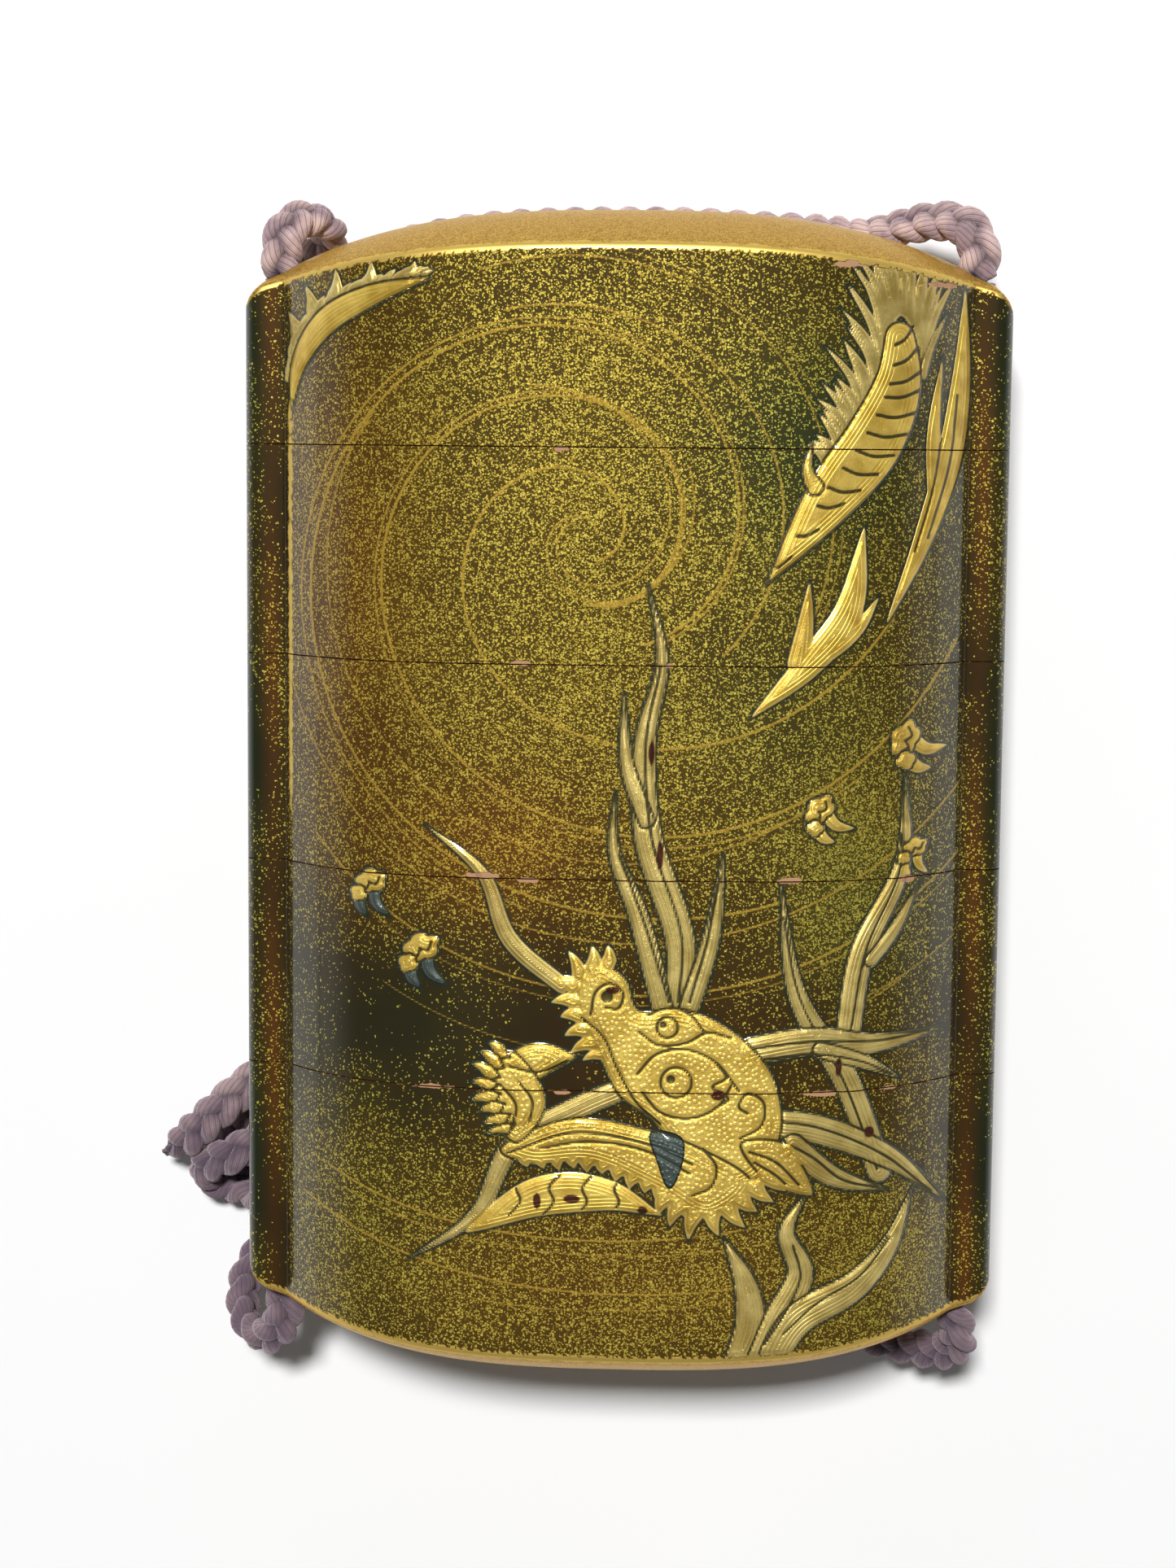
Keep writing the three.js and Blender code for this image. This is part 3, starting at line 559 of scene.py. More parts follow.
# Lines cut into the gold: round the eyes, across the tail and tongue, along the horns.
cut_lines = [
    [(1.6, -19.4), (3.0, -17.9), (5.2, -17.5), (7.4, -18.4), (9.2, -20.6)],
    [(2.0, -20.8), (3.4, -22.3), (5.6, -22.7), (7.6, -21.8), (8.6, -20.2)],
    [(7.4, -18.4), (8.2, -19.6), (7.2, -20.3), (8.4, -21.2), (7.4, -21.9)],
    [(2.4, -14.9), (3.8, -14.3), (5.4, -14.8), (6.6, -16.2)],
    [(1.7, -16.2), (3.2, -17.2), (5.2, -17.0), (6.8, -16.2), (8.6, -16.6)],
    [(-2.6, -15.2), (-1.0, -16.6), (0.2, -19.2), (1.6, -21.6), (3.4, -23.2)],
    [(-1.9, -15.0), (-1.5, -13.2), (-0.4, -12.6), (0.5, -13.4), (0.1, -14.5), (-0.8, -14.4)],
    [(9.3, -24.2), (10.9, -23.2), (11.0, -21.4), (9.8, -20.8), (9.2, -21.8), (9.9, -22.3)],
    [(-8.0, -25.6), (-3.4, -24.0), (2.0, -24.6), (5.8, -26.2)],
    [(-5.6, -25.2), (-2.0, -24.6), (2.2, -25.2), (5.6, -26.9)],
    [(6.6, -25.0), (7.6, -26.4), (7.2, -27.9), (5.8, -28.6)],
    [(10.0, -25.2), (12.0, -26.0), (13.8, -27.8)], [(10.4, -26.0), (12.0, -27.0), (12.8, -27.7)],
    [(-8.6, -20.4), (-7.4, -22.0), (-7.8, -23.8)], [(-8.0, -19.0), (-5.8, -19.4), (-3.6, -18.5)],
    [(-7.2, -20.2), (-6.2, -21.6), (-6.4, -23.2)],
    [(9.8, -17.4), (14.8, -16.9), (19.6, -17.1), (23.6, -16.8)],
    [(10.0, -18.3), (15.0, -17.9), (18.6, -18.7), (20.6, -19.8)],
    [(10.6, -22.8), (15.0, -23.4), (20.0, -25.8), (24.0, -29.4)],
    [(11.4, -23.9), (14.6, -25.6), (17.0, -27.5), (19.8, -28.4)],
    [(4.6, -14.0), (4.8, -9.2), (2.5, -1.8), (2.0, 5.4), (3.0, 11.0)],
    [(3.9, -14.0), (2.0, -8.0), (0.1, -3.0)], [(5.4, -14.0), (6.6, -9.6), (7.5, -4.6)],
    [(19.7, -27.0), (17.0, -20.0), (13.6, -13.6), (12.3, -7.6)],
    [(17.5, -16.0), (18.5, -10.2), (21.0, -4.2), (21.2, 1.6)],
    [(21.6, 19.4), (22.9, 24.0), (23.6, 28.4)], [(22.6, 20.4), (24.2, 26.0), (24.7, 31.0)],
    [(11.4, -40.0), (13.2, -37.0), (14.0, -34.8), (13.4, -32.4)],
    [(12.8, -39.2), (15.2, -37.0), (18.6, -35.0), (20.8, -32.4)],
]
tail_points, tail_root, tail_belly = figure_strokes["tail"]
tail_spine = smooth_curve(tail_points)
for share in np.linspace(0.07, 0.95, 12):
    spot = int(share * (len(tail_spine) - 1))
    ahead = unit(tail_spine[min(spot + 1, len(tail_spine) - 1)] - tail_spine[spot - 1])
    across = np.array([-ahead[1], ahead[0]])
    belly = tail_root * (1 - share) + tail_belly * math.sin(math.pi * share)
    middle = tail_spine[spot]
    for shift in (0, 0.07):
        cut_lines.append([middle - across * belly * 0.35 + ahead * (0.55 + shift),
                          middle + across * belly * 0.25 + ahead * (0.2 + shift),
                          middle + across * belly * 0.85 - ahead * (0.75 - shift)])
for x, lean in ((-7.4, 0.3), (-4.9, 0.2), (-2.4, 0.1), (0.0, 0.0)):
    cut_lines.append([(x + 0.6 + lean, -27.2), (x, -28.2), (x + 0.35, -29.2), (x - 0.5, -30.4)])
# The rings of the eyes, the dark spots in them, the steel tusk, and patches worn bare.
cut_rings = [((4.5, -20.0), 1.15), ((3.8, -15.85), 0.78)]
dark_spots = [((4.1, -19.75), 0.30), ((3.5, -15.65), 0.22), ((-0.7, -13.6), 0.42)]
tusk = [(2.7, -23.9), (4.9, -24.2), (5.0, -26.0), (4.1, -28.0), (3.3, -26.2)]
worn_patches = [((-0.3, -13.1), 0.5, 0.25), ((-3.2, -29.0), 0.6, 0.3), ((-5.8, -29.2), 0.25, 0.6),
                ((2.1, -29.8), 0.35, 0.3), ((3.1, -3.0), 0.2, 1.1), ((2.4, 4.6), 0.18, 0.9),
                ((7.6, -20.9), 0.5, 0.35), ((19.0, -24.0), 0.35, 0.4), ((16.6, -18.9), 0.2, 0.7)]

# The grid on which every figure is kept as a field of distances, in millimetres.
far_out = -1.2
far_cut = 0.6
columns = drawing_left + drawing_grid * np.arange(drawing_columns)
rows = drawing_low + drawing_grid * np.arange(drawing_rows)


def stamp(field, corner, points, reach):
    """Lower the field to the distance from the points, as far as reach from them."""
    cells = int(math.ceil(reach / drawing_grid))
    place = (points - corner) / drawing_grid
    near = np.round(place).astype(int)
    for down in range(-cells, cells + 1):
        for right in range(-cells, cells + 1):
            i, j = near[:, 1] + down, near[:, 0] + right
            kept = (i >= 0) & (j >= 0) & (i < field.shape[0]) & (j < field.shape[1])
            away = np.hypot(place[kept, 1] - i[kept], place[kept, 0] - j[kept]) * drawing_grid
            np.minimum.at(field, (i[kept], j[kept]), away)


def window(points, margin):
    """The part of the drawing's grid round some points: two slices and its corner."""
    low = np.floor((points.min(0) - margin - (drawing_left, drawing_low)) / drawing_grid)
    high = np.ceil((points.max(0) + margin - (drawing_left, drawing_low)) / drawing_grid)
    low = np.clip(low.astype(int), 0, (drawing_columns - 1, drawing_rows - 1))
    high = np.clip(high.astype(int), low + 1, (drawing_columns, drawing_rows))
    corner = np.array([drawing_left, drawing_low]) + low * drawing_grid
    return slice(low[1], high[1]), slice(low[0], high[0]), corner


def within(outline, across, up):
    """Which points of the grid lie inside a closed outline."""
    inside = np.zeros(across.shape, bool)
    for (x0, y0), (x1, y1) in zip(outline, np.roll(outline, -1, axis=0)):
        if y0 == y1:
            continue
        crosses = (y0 > up) != (y1 > up)
        inside ^= crosses & (across < (x1 - x0) * (up - y0) / (y1 - y0) + x0)
    return inside


def distance_inside(outline, far, margin, step):
    """Where an outline lies on the grid, and how deep inside it each point there is."""
    down, right, corner = window(outline, margin)
    closed_line = spaced(np.vstack([outline, outline[:1]]), step)
    away = np.full((down.stop - down.start, right.stop - right.start), far)
    stamp(away, corner, closed_line, far)
    inside = within(outline, *np.meshgrid(columns[right], rows[down]))
    return down, right, corner, closed_line, np.where(inside, away, -away)


outlines = []
hair_seed = np.random.default_rng(7)
tail_side = smooth_curve([(15.0, 25.6), (17.0, 28.6), (18.6, 32.0), (19.2, 35.2), (20.2, 36.6),
                          (21.6, 34.8), (21.9, 32.0)])
for share in np.linspace(0, 1, 40):
    root = tail_side[int(share * (len(tail_side) - 1))]
    length = 2.4 + 6.4 * math.sin(min(1.0, share * 1.25) * math.pi / 2) * (1 - 0.35 * share)
    length *= hair_seed.uniform(0.72, 1.12)
    lean = math.radians(118 - 42 * share ** 1.4 + hair_seed.uniform(-5, 5))
    bend = math.radians(hair_seed.uniform(8, 30)) * (1 if share < 0.7 else -0.5)
    way = np.array([math.cos(lean), math.sin(lean)])
    turned = np.array([math.cos(lean + bend), math.sin(lean + bend)])
    outlines.append(("tail_hair", stroke_outline(
        [root, root + way * 0.5 * length, root + way * 0.55 * length + turned * 0.5 * length],
        0.26, 0.14)))
curl_side = smooth_curve([(-25.5, 31.5), (-24.9, 34.4), (-22.8, 36.7), (-19.0, 38.3),
                          (-14.8, 39.1)])
curl_tips = [(-25.5, 36.9), (-24.0, 38.8), (-21.4, 39.9), (-18.6, 40.35), (-15.2, 40.3)]
for tip, share in zip(curl_tips, (0.30, 0.46, 0.60, 0.76, 0.92)):
    root = curl_side[int(share * (len(curl_side) - 1))]
    outlines.append(("curl_hair", stroke_outline(
        [root, 0.5 * (root + tip) + np.array([0.2, -0.15]), np.array(tip)], 0.8, 0.0)))
for share in np.linspace(0, 1, 34):
    root = curl_side[int(share * (len(curl_side) - 1))]
    length = hair_seed.uniform(0.9, 1.5)
    lean = math.radians(104 - 62 * share + hair_seed.uniform(-6, 6))
    way = np.array([math.cos(lean), math.sin(lean)])
    tip = root + way * length + np.array([0.2, -0.05])
    outlines.append(("curl_hair", stroke_outline([root, root + way * 0.5 * length, tip], 0.22, 0.12)))
for name, (points, root, belly) in figure_strokes.items():
    outlines.append((name, stroke_outline(points, root, belly)))
for name, points in figure_blobs.items():
    outlines.append((name, smooth_curve(points, 10, closed=True)))
for name, numbers in figure_fringes.items():
    outlines += [(name, outline) for outline in fringe_outlines(*numbers)]
steel_outlines = [smooth_curve(tusk, 10, closed=True)]
for place, turn, size, is_steel in claw_places:
    talons, pads = claw_outlines(place, turn, size)
    outlines += [("talon", outline) for outline in talons]
    outlines += [("claw", outline) for outline in pads]
    steel_outlines += talons if is_steel else []
    turned = np.array([[math.cos(turn), math.sin(turn)], [-math.sin(turn), math.cos(turn)]])
    for curl in ([(-0.2, 1.1), (0.3, 0.7), (0.0, 0.2)], [(0.1, 0.2), (0.5, -0.1), (0.2, -0.5)]):
        cut_lines.append([tuple(np.array(place) + size * np.array(spot) @ turned) for spot in curl])

pale_figures = ("horn", "weed", "tail_hair", "curl_hair", "whisker", "crest", "low_flame")
pearled_figures = ("skull", "jaw", "nose_locks", "chin", "mane_locks", "claw", "ear")
outlined_figures = ("horn", "ear", "whisker_long", "chin", "weed", "claw", "skull", "jaw",
                    "crest", "back_curl", "low_flame", "tail", "curl_hair")
shape = (drawing_rows, drawing_columns)
figure_field = np.full(shape, far_out)
cut_field = np.full(shape, far_cut)
pale_field = np.zeros(shape)
pearled_field = np.zeros(shape)
owner_field = np.full(shape, -1)
owners = list(dict.fromkeys(name for name, _ in outlines))
for name, outline in outlines:
    down, right, corner, closed_line, depth = distance_inside(outline, -far_out, 1.3, 0.07)
    over = depth > -0.05
    pale_field[down, right][over] = float(name.startswith(pale_figures))
    pearled_field[down, right][over] = float(name.startswith(pearled_figures))
    owner_field[down, right][depth > 0] = owners.index(name)
    cut_field[down, right][depth > 0.1] = far_cut
    older = figure_field[down, right]
    figure_field[down, right] = np.where(depth > 0.6, depth, np.maximum(older, depth))
    if name.startswith(outlined_figures):
        edge_window = cut_field[down, right]
        before = edge_window.copy()
        stamp(edge_window, corner, closed_line, 0.35)
        edge_window[older < -0.1] = before[older < -0.1]
        if name.endswith("_hair"):
            edge_window += 0.05
head_parts = ("skull", "jaw", "nose_locks", "mane_locks", "teeth", "ear")
families = np.array(["head" if name in head_parts else name.split("_")[0] for name in owners])
for line in cut_lines:
    line = spaced(smooth_curve(line), 0.05)
    near = np.round((line - (drawing_left, drawing_low)) / drawing_grid).astype(int)
    owner = np.bincount(owner_field[near[:, 1], near[:, 0]] + 1).argmax() - 1
    away = np.full(shape, far_cut)
    stamp(away, (drawing_left, drawing_low), line, 0.45)
    covered = (owner_field >= 0) & (families[owner_field] == families[owner])
    cut_field = np.where(covered, np.minimum(cut_field, away), cut_field)
for (x, y), radius in cut_rings:
    turn = np.linspace(0, 2 * np.pi, 160)
    ring = np.stack([x + radius * np.cos(turn), y + radius * np.sin(turn)], axis=1)
    stamp(cut_field, (drawing_left, drawing_low), ring, 0.45)

across, up = np.meshgrid(columns, rows)
for (x, y), radius in dark_spots:
    cut_field = np.minimum(cut_field, np.clip(np.hypot(across - x, up - y) - radius + 0.08, 0, 1))
steel_field = np.full(shape, -far_cut)
for outline in steel_outlines:
    down, right, _, _, depth = distance_inside(outline, far_cut, far_cut, 0.05)
    steel_field[down, right] = np.maximum(steel_field[down, right], depth)
steel_field[owner_field == owners.index("claw")] = -far_cut
worn_field = np.zeros(shape)
for (x, y), reach_x, reach_y in worn_patches:
    away = np.hypot((across - x) / reach_x, (up - y) / reach_y)
    worn_field = np.maximum(worn_field, 1.25 - away)

whirl_field = np.full(shape, far_cut)
for start, radius, growth, end, weight in whirl_arms:
    turn = np.radians(np.linspace(start, end, 700))
    reach = radius * np.exp(growth * (turn - turn[0]))
    sway = 1 + 0.006 * np.sin(3.1 * turn + radius)
    arm = whirl_centre + np.stack([np.cos(turn), np.sin(turn)], axis=1) * (reach * sway)[:, None]
    arm = spaced(arm, 0.07)
    arm = arm[(np.abs(arm[:, 0]) < panel_half - 0.3) & (np.abs(arm[:, 1]) < 41)]
    away = np.full(shape, far_cut)
    stamp(away, (drawing_left, drawing_low), arm, 0.5)
    whirl_field = np.minimum(whirl_field, away + whirl_half_width * (1 - weight))

pearl_field = pearled_field * np.clip((figure_field - 0.22) / 0.2, 0, 1)
pearl_field *= np.clip((cut_field - 0.18) / 0.12, 0, 1)


def sampled(field, x, y):
    """The value of a drawing field at any points of the front."""
    i = np.clip((y - drawing_low) / drawing_grid, 0, drawing_rows - 1.001)
    j = np.clip((x - drawing_left) / drawing_grid, 0, drawing_columns - 1.001)
    i0, j0 = i.astype(int), j.astype(int)
    di, dj = i - i0, j - j0
    low = field[i0, j0] * (1 - dj) + field[i0, j0 + 1] * dj
    high = field[i0 + 1, j0] * (1 - dj) + field[i0 + 1, j0 + 1] * dj
    return low * (1 - di) + high * di


def relief(x, y):
    """How far the gold stands up off the front, in millimetres."""
    depth = sampled(figure_field, x, y)
    shoulder = smooth_ramp(np.clip(depth / 0.26, 0, 1))
    crown = 1 - np.exp(-np.maximum(depth, 0) / 0.7)
    height = relief_shoulder * shoulder + relief_crown * crown
    cut = np.clip(1 - sampled(cut_field, x, y) / (1.6 * cut_half_width), 0, 1)
    height = height - cut_depth * cut * shoulder
    whirl = np.clip(1 - sampled(whirl_field, x, y) / 0.26, 0, 1) * (1 - shoulder)
    return height + whirl_rise * whirl


# The lacquer: gold dust sprinkled over dark ground and sealed under clear polished coats.
# The figures stand up in solid gold, and rims, seams and high spots are rubbed with age; the
# rims' gold line is partly a painted highlight, and a painted highlight runs along the panel's left
# edge.
flakes_per_mm = 8.4
inner_flakes_per_mm = 4.2
ground_dark = {"plain": (0.018, 0.011, 0.002), "green": (0.007, 0.020, 0.009),
               "russet": (0.085, 0.022, 0.004)}
gold_film = {"plain": (0.145, 0.088, 0.006), "green": (0.075, 0.090, 0.012),
             "russet": (0.19, 0.075, 0.004)}
flake_gold = {"dull": (0.29, 0.205, 0.018), "bright": (0.76, 0.61, 0.10),
              "green": (0.36, 0.42, 0.075), "russet": (0.52, 0.26, 0.022)}
whirl_gold = (0.42, 0.26, 0.035)
outline_dark = (0.012, 0.022, 0.014)
figure_gold = {"deep": (0.56, 0.35, 0.040), "bright": (0.86, 0.61, 0.12),
               "combed": (0.90, 0.68, 0.20), "edge": (0.86, 0.66, 0.26),
               "beaded": (0.94, 0.72, 0.24), "dusky": (0.30, 0.17, 0.022)}
pale_gold = {"deep": (0.42, 0.315, 0.085), "bright": (0.68, 0.53, 0.18)}
cut_dark = (0.022, 0.026, 0.014)
worn_ground = (0.075, 0.026, 0.014)
steel_edge, steel_grey = (0.02, 0.03, 0.02), (0.075, 0.095, 0.085)
dome_gold = {"between": (0.34, 0.185, 0.030), "flake": (0.56, 0.36, 0.075)}
rim_gold_and_highlight = (0.74, 0.52, 0.13)
chip_ground = (0.45, 0.25, 0.14)
inner_dark, inner_russet = (0.035, 0.010, 0.004), (0.075, 0.024, 0.008)
inner_gold = {"dull": (0.34, 0.20, 0.04), "bright": (0.66, 0.44, 0.12)}


def sprinkled_gold_group():
    """Flakes of gold dust: a mask and a shade for each flake, at a given coverage."""
    group = bpy.data.node_groups.new("sprinkled_gold", "ShaderNodeTree")
    face = group.interface
    for label, start in (("Coverage", 0.4), ("Flakes per mm", flakes_per_mm)):
        face.new_socket(label, in_out="INPUT", socket_type="NodeSocketFloat").default_value = start
    for label in ("Mask", "Shade"):
        face.new_socket(label, in_out="OUTPUT", socket_type="NodeSocketFloat")
    inside = group.nodes.new("NodeGroupInput").outputs
    outside = group.nodes.new("NodeGroupOutput").inputs
    where = object_place(group)
    scale = times(group, inside["Flakes per mm"], 1000.0)
    masks = []
    for size, share, rim_out, rim_in in ((1.0, 1.0, 0.62, 0.42), (0.55, 0.45, 0.55, 0.38)):
        flakes = node(group, "ShaderNodeTexVoronoi", {
            "Vector": where, "Scale": times(group, scale, size)})
        chance = node(group, "ShaderNodeSeparateXYZ", {0: flakes.outputs["Color"]}).outputs
        laid = math_node(group, "LESS_THAN", chance[0], times(group, inside["Coverage"], share))
        rounded = step_between(group, flakes.outputs["Distance"], rim_out, rim_in)
        masks.append(times(group, laid, rounded))
        if size == 1.0:
            group.links.new(chance[1], outside["Shade"])
    group.links.new(math_node(group, "MAXIMUM", *masks), outside["Mask"])
    return group


sprinkled_gold = sprinkled_gold_group()


def sprinkled(tree, coverage, per_mm):
    made = node(tree, "ShaderNodeGroup", node_tree=sprinkled_gold)
    plug(tree, made, {"Coverage": coverage, "Flakes per mm": per_mm})
    return made.outputs["Mask"], made.outputs["Shade"]


def tinted(tree, colours, russet, green, most=1.0):
    """The plain colour, turned to russet and then to green where the ground is so."""
    colour = blended(tree, russet, colours["plain"], colours["russet"], most)
    return blended(tree, green, colour, colours["green"], most)


def lacquer_material():
    material, tree, shader = new_material("sprinkled_lacquer")
    figure, cut, whirl = attribute_parts(tree, "drawing")
    gilding, russet, green = attribute_parts(tree, "ground")
    rim, chip, pale = attribute_parts(tree, "rim_chip_pale")
    pearled, steel, worn = attribute_parts(tree, "detail")
    domed = attribute(tree, "domed")
    where = object_place(tree)

    # The sprinkled ground, thicker along the whirls.
    drift = times_plus(tree, noise(tree, where, 130.0, 4.0), 0.5, -0.25)
    whirled = step_between(tree, whirl, 0.145, 0.05)
    thick = times_plus(tree, whirled, 0.30, math_node(tree, "ADD", gilding, drift))
    mask, shade = sprinkled(tree, thick, flakes_per_mm)
    dark = blended(tree, green, ground_dark["plain"], ground_dark["green"])
    dark = blended(tree, russet, dark, ground_dark["russet"])
    film = tinted(tree, gold_film, russet, green)
    base = blended(tree, math_node(tree, "MAXIMUM", thick, 0.0), dark, film, most=0.75)
    flake = {"plain": blended(tree, shade, flake_gold["dull"], flake_gold["bright"]),
             "russet": flake_gold["russet"], "green": flake_gold["green"]}
    flake = tinted(tree, flake, russet, green, most=0.6)
    ground = blended(tree, mask, base, flake, most=0.85)
    ground = blended(tree, whirled, ground, whirl_gold, most=0.72)

    # The dark line that sets each figure off, and its solid gold.
    ground = blended(tree, step_between(tree, figure, -0.30, -0.08), ground, outline_dark, most=0.85)
    beads = node(tree, "ShaderNodeTexVoronoi", {"Vector": where, "Scale": 2400.0, "Randomness": 0.8},
                 voronoi_dimensions="2D")
    pearl = times(tree, step_between(tree, beads.outputs["Distance"], 0.44, 0.20), pearled)
    tone = step_between(tree, noise(tree, where, 620.0, 5.0), 0.3, 0.7)
    gold = blended(tree, tone, figure_gold["deep"], figure_gold["bright"])
    gold = blended(tree, pale, gold, blended(tree, tone, pale_gold["deep"], pale_gold["bright"]))
    combs = math_node(tree, "SINE", times(tree, figure, 2 * math.pi / 0.27))
    combed = step_between(tree, combs, -0.2, 0.9)
    edge = step_between(tree, figure, 0.16, 0.02)
    dusk = step_between(tree, noise(tree, where, 160.0, 2.0), 0.52, 0.68)
    lines = step_between(tree, cut, 0.150, 0.06)
    for share, colour, most in (
            (combed, figure_gold["combed"], 0.30), (edge, figure_gold["edge"], 0.5),
            (pearl, figure_gold["beaded"], 0.38), (dusk, figure_gold["dusky"], 0.35),
            (lines, cut_dark, 0.92), (step_between(tree, worn, 0.0, 0.35), worn_ground, 1.0),
            (step_between(tree, steel, -0.14, -0.08), steel_edge, 1.0),
            (step_between(tree, steel, 0.0, 0.08), steel_grey, 1.0)):
        gold = blended(tree, share, gold, colour, most)
    raised = step_between(tree, figure, -0.04, 0.04)
    colour = blended(tree, raised, ground, gold)
    colour = blended(tree, domed, colour, blended(tree, mask, dome_gold["between"], dome_gold["flake"]))

    # Rubbed rims and seams, and chips down to the pale under-layer. The rims' gold line is also a
    # painted highlight in part, and the line along the panel's left edge is all painted highlight.
    grit = noise(tree, where, 1500.0, 4.0)
    rim_wear_and_highlight = math_node(tree, "ADD", rim, times_plus(tree, grit, 0.9, -0.45))
    colour = blended(tree, step_between(tree, rim_wear_and_highlight, 0.45, 0.75), colour, rim_gold_and_highlight, most=0.9)
    flaked = math_node(tree, "ADD", chip, times_plus(tree, grit, 1.1, -0.55))
    flaked = step_between(tree, flaked, 0.42, 0.52)
    colour = blended(tree, flaked, colour, chip_ground)
    sound = math_node(tree, "SUBTRACT", 1.0, flaked)

    metal = math_node(tree, "MAXIMUM", times(tree, mask, 0.35), times(tree, raised, 0.55))
    metal = math_node(tree, "MAXIMUM", metal, times(tree, domed, 0.7))
    rough = times_plus(tree, flaked, 0.35, times_plus(tree, raised, -0.04, 0.46))
    clear = times(tree, times_plus(tree, raised, -0.45, 1.0), sound)
    height = times_plus(tree, mask, 0.10, times(tree, tone, 0.35))
    height = times(tree, height, raised)
    height = times_plus(tree, times(tree, combed, raised), 0.5, height)
    height = times_plus(tree, pearl, 0.6, height)
    height = times_plus(tree, flaked, -1.5, height)
    height = times_plus(tree, times(tree, lines, raised), -1.0, height)
    plug(tree, shader, {
        "Base Color": colour, "Metallic": times(tree, metal, sound), "Roughness": rough,
        "Coat Weight": times(tree, clear, times_plus(tree, domed, -0.85, 1.0)),
        "Coat Roughness": 0.07, "Specular IOR Level": 0.12,
        "Specular Tint": (1.0, 0.78, 0.42, 1.0), "Normal": bumped(tree, height, 0.8, 0.00005),
    })
    return material


def inner_lacquer_material():
    """Inside the boxes: reddish black lacquer with a thin sprinkle of gold."""
    material, tree, shader = new_material("inner_lacquer")
    cloud = noise(tree, object_place(tree), 90.0, 4.0)
    mask, shade = sprinkled(tree, times_plus(tree, cloud, 0.5, -0.02), inner_flakes_per_mm)
    base = blended(tree, cloud, inner_dark, inner_russet)
    flake = blended(tree, shade, inner_gold["dull"], inner_gold["bright"])
    plug(tree, shader, {"Base Color": blended(tree, mask, base, flake),
                        "Metallic": times(tree, mask, 0.5),
                        "Roughness": times_plus(tree, cloud, 0.2, 0.22)})
    return material


lacquer = lacquer_material()
inner_lacquer = inner_lacquer_material()

# Where the gold dust is thick or thin, and where the ground shows russet or green:
# centre x and y, reach x and y, and what each cloud adds to the three.
ground_clouds = [
    (-3, 24, 19, 15, 0.26, 0.0, 0.0), (-2, 5, 17, 9, 0.17, 0.05, 0.0),
    (-9, -3, 8, 6, 0.05, 0.65, 0.0), (-21, 16, 6, 20, 0.0, 0.5, 0.0),
    (17, -5, 6, 8, 0.34, 0.1, 0.35),
    (14, 27, 8, 9, -0.12, 0.0, 0.75), (12, 8, 9, 7, 0.0, 0.0, 0.35),
    (-16, -16, 12, 8, -0.20, 0.0, 0.5), (3, -18, 18, 9, -0.24, 0.15, 0.0),
    (27, 8, 3.2, 44, -0.24, 0.0, 0.35), (-27, -12, 3.0, 30, -0.14, 0.0, 0.3),
    (19, -10, 7, 8, -0.05, 0.0, 0.3), (0, -35, 15, 6, 0.22, 0.3, 0.0),
    (18, -35, 8, 7, 0.20, 0.0, 0.1), (-20, -32, 6, 8, 0.10, 0.0, 0.2),
]
seam_chips = [
    (-13.6, -20.8, 1.5, 0.22), (-4.0, -20.9, 0.8, 0.2), (15.3, -20.9, 1.5, 0.2),
    (20.4, -20.8, 0.6, 0.2), (-10.0, -4.7, 1.3, 0.25), (-6.6, -5.0, 0.9, 0.2),
    (12.6, -4.8, 1.1, 0.25), (21.4, -5.0, 0.8, 0.3), (-4.4, 26.8, 0.6, 0.3),
    (-7.2, 11.1, 0.8, 0.2), (3.6, 11.0, 0.5, 0.2), (-20.6, -40.3, 1.6, 0.25),
    (-17.4, -41.0, 2.0, 0.2), (17.0, 40.3, 2.6, 0.3), (23.5, 39.0, 1.4, 0.25),
]

# Russet and green stripes along each runner, and a painted highlight along the panel's left
# edge: each one's place across the stack and its reach.
russet_stripe, green_stripe, painted_glint_line = (26.9, 0.55), (28.6, 0.9), (-25.35, 0.30)


# The boxes and the lid: each a slice of one lens-shaped body, hollowed, with a riser that
# enters the tier above and a bore for the cord in each side. Two ends are domed.
tier_seams = [-20.8, -4.9, 11.0, 26.9]
rim_rise = 3.1
dome_rise = 6.2
shoulder_radius = 1.8
side_corner = 1.3
corner_x = half_width - side_corner
corner_z = runner_half - side_corner
end_round = 0.42
row_step = 0.16
first_row = 0.06
relief_fade = 0.25
gap = 0.05
seat = 0.004
seam_groove = 0.14
weld = 2e-6
bore_side = 26.4
bore_radius = 1.7
mouth_hole = bore_radius + 0.08
mouth_reach, mouth_low = 3.2, 33.0
riser_x, riser_z = 22.6, 9.6
riser_wall = 0.8
riser_height = 3.5
riser_clearance = 0.3
lip_round, lip_bevel = 0.2, 0.15
floor_thickness = 1.4
end_floor = 39.0


def end_rise(x, share):
    """How far an end stands past the side's end, at a share of the half thickness."""
    across = np.minimum(np.abs(x), half_width)
    edge = rim_rise * (1 - (across / half_width) ** 2.5)
    crest = dome_rise * (1 - (across / half_width) ** 2.8)
    into_corner = np.maximum(0, across - (half_width - shoulder_radius))
    drop = shoulder_radius - np.sqrt(np.maximum(0, shoulder_radius ** 2 - into_corner ** 2))
    return edge + (crest - edge) * (1 - np.minimum(1, np.abs(share)) ** 2) - drop


def end_y(x, z):
    return side_end + end_rise(x, z / panel_half_thickness(x))


# The outline of the section, seen along the stack: the bulging front in fine columns,
# the plain back in coarse ones, and a narrow flat runner for the cord on each side.
front_columns, back_columns = 345, 61
arc_turns = np.radians([22.5, 45, 67.5, 90])
dome_front_shares = np.array([1, 0.95, 0.88, 0.79, 0.69, 0.58, 0.47, 0.36, 0.25, 0.15, 0.06])
dome_back_shares = np.array([-0.06, -0.2, -0.38, -0.56, -0.73, -0.88, -1])
arc_x = corner_x + side_corner * np.sin(arc_turns)
arc_z = corner_z + side_corner * np.cos(arc_turns)


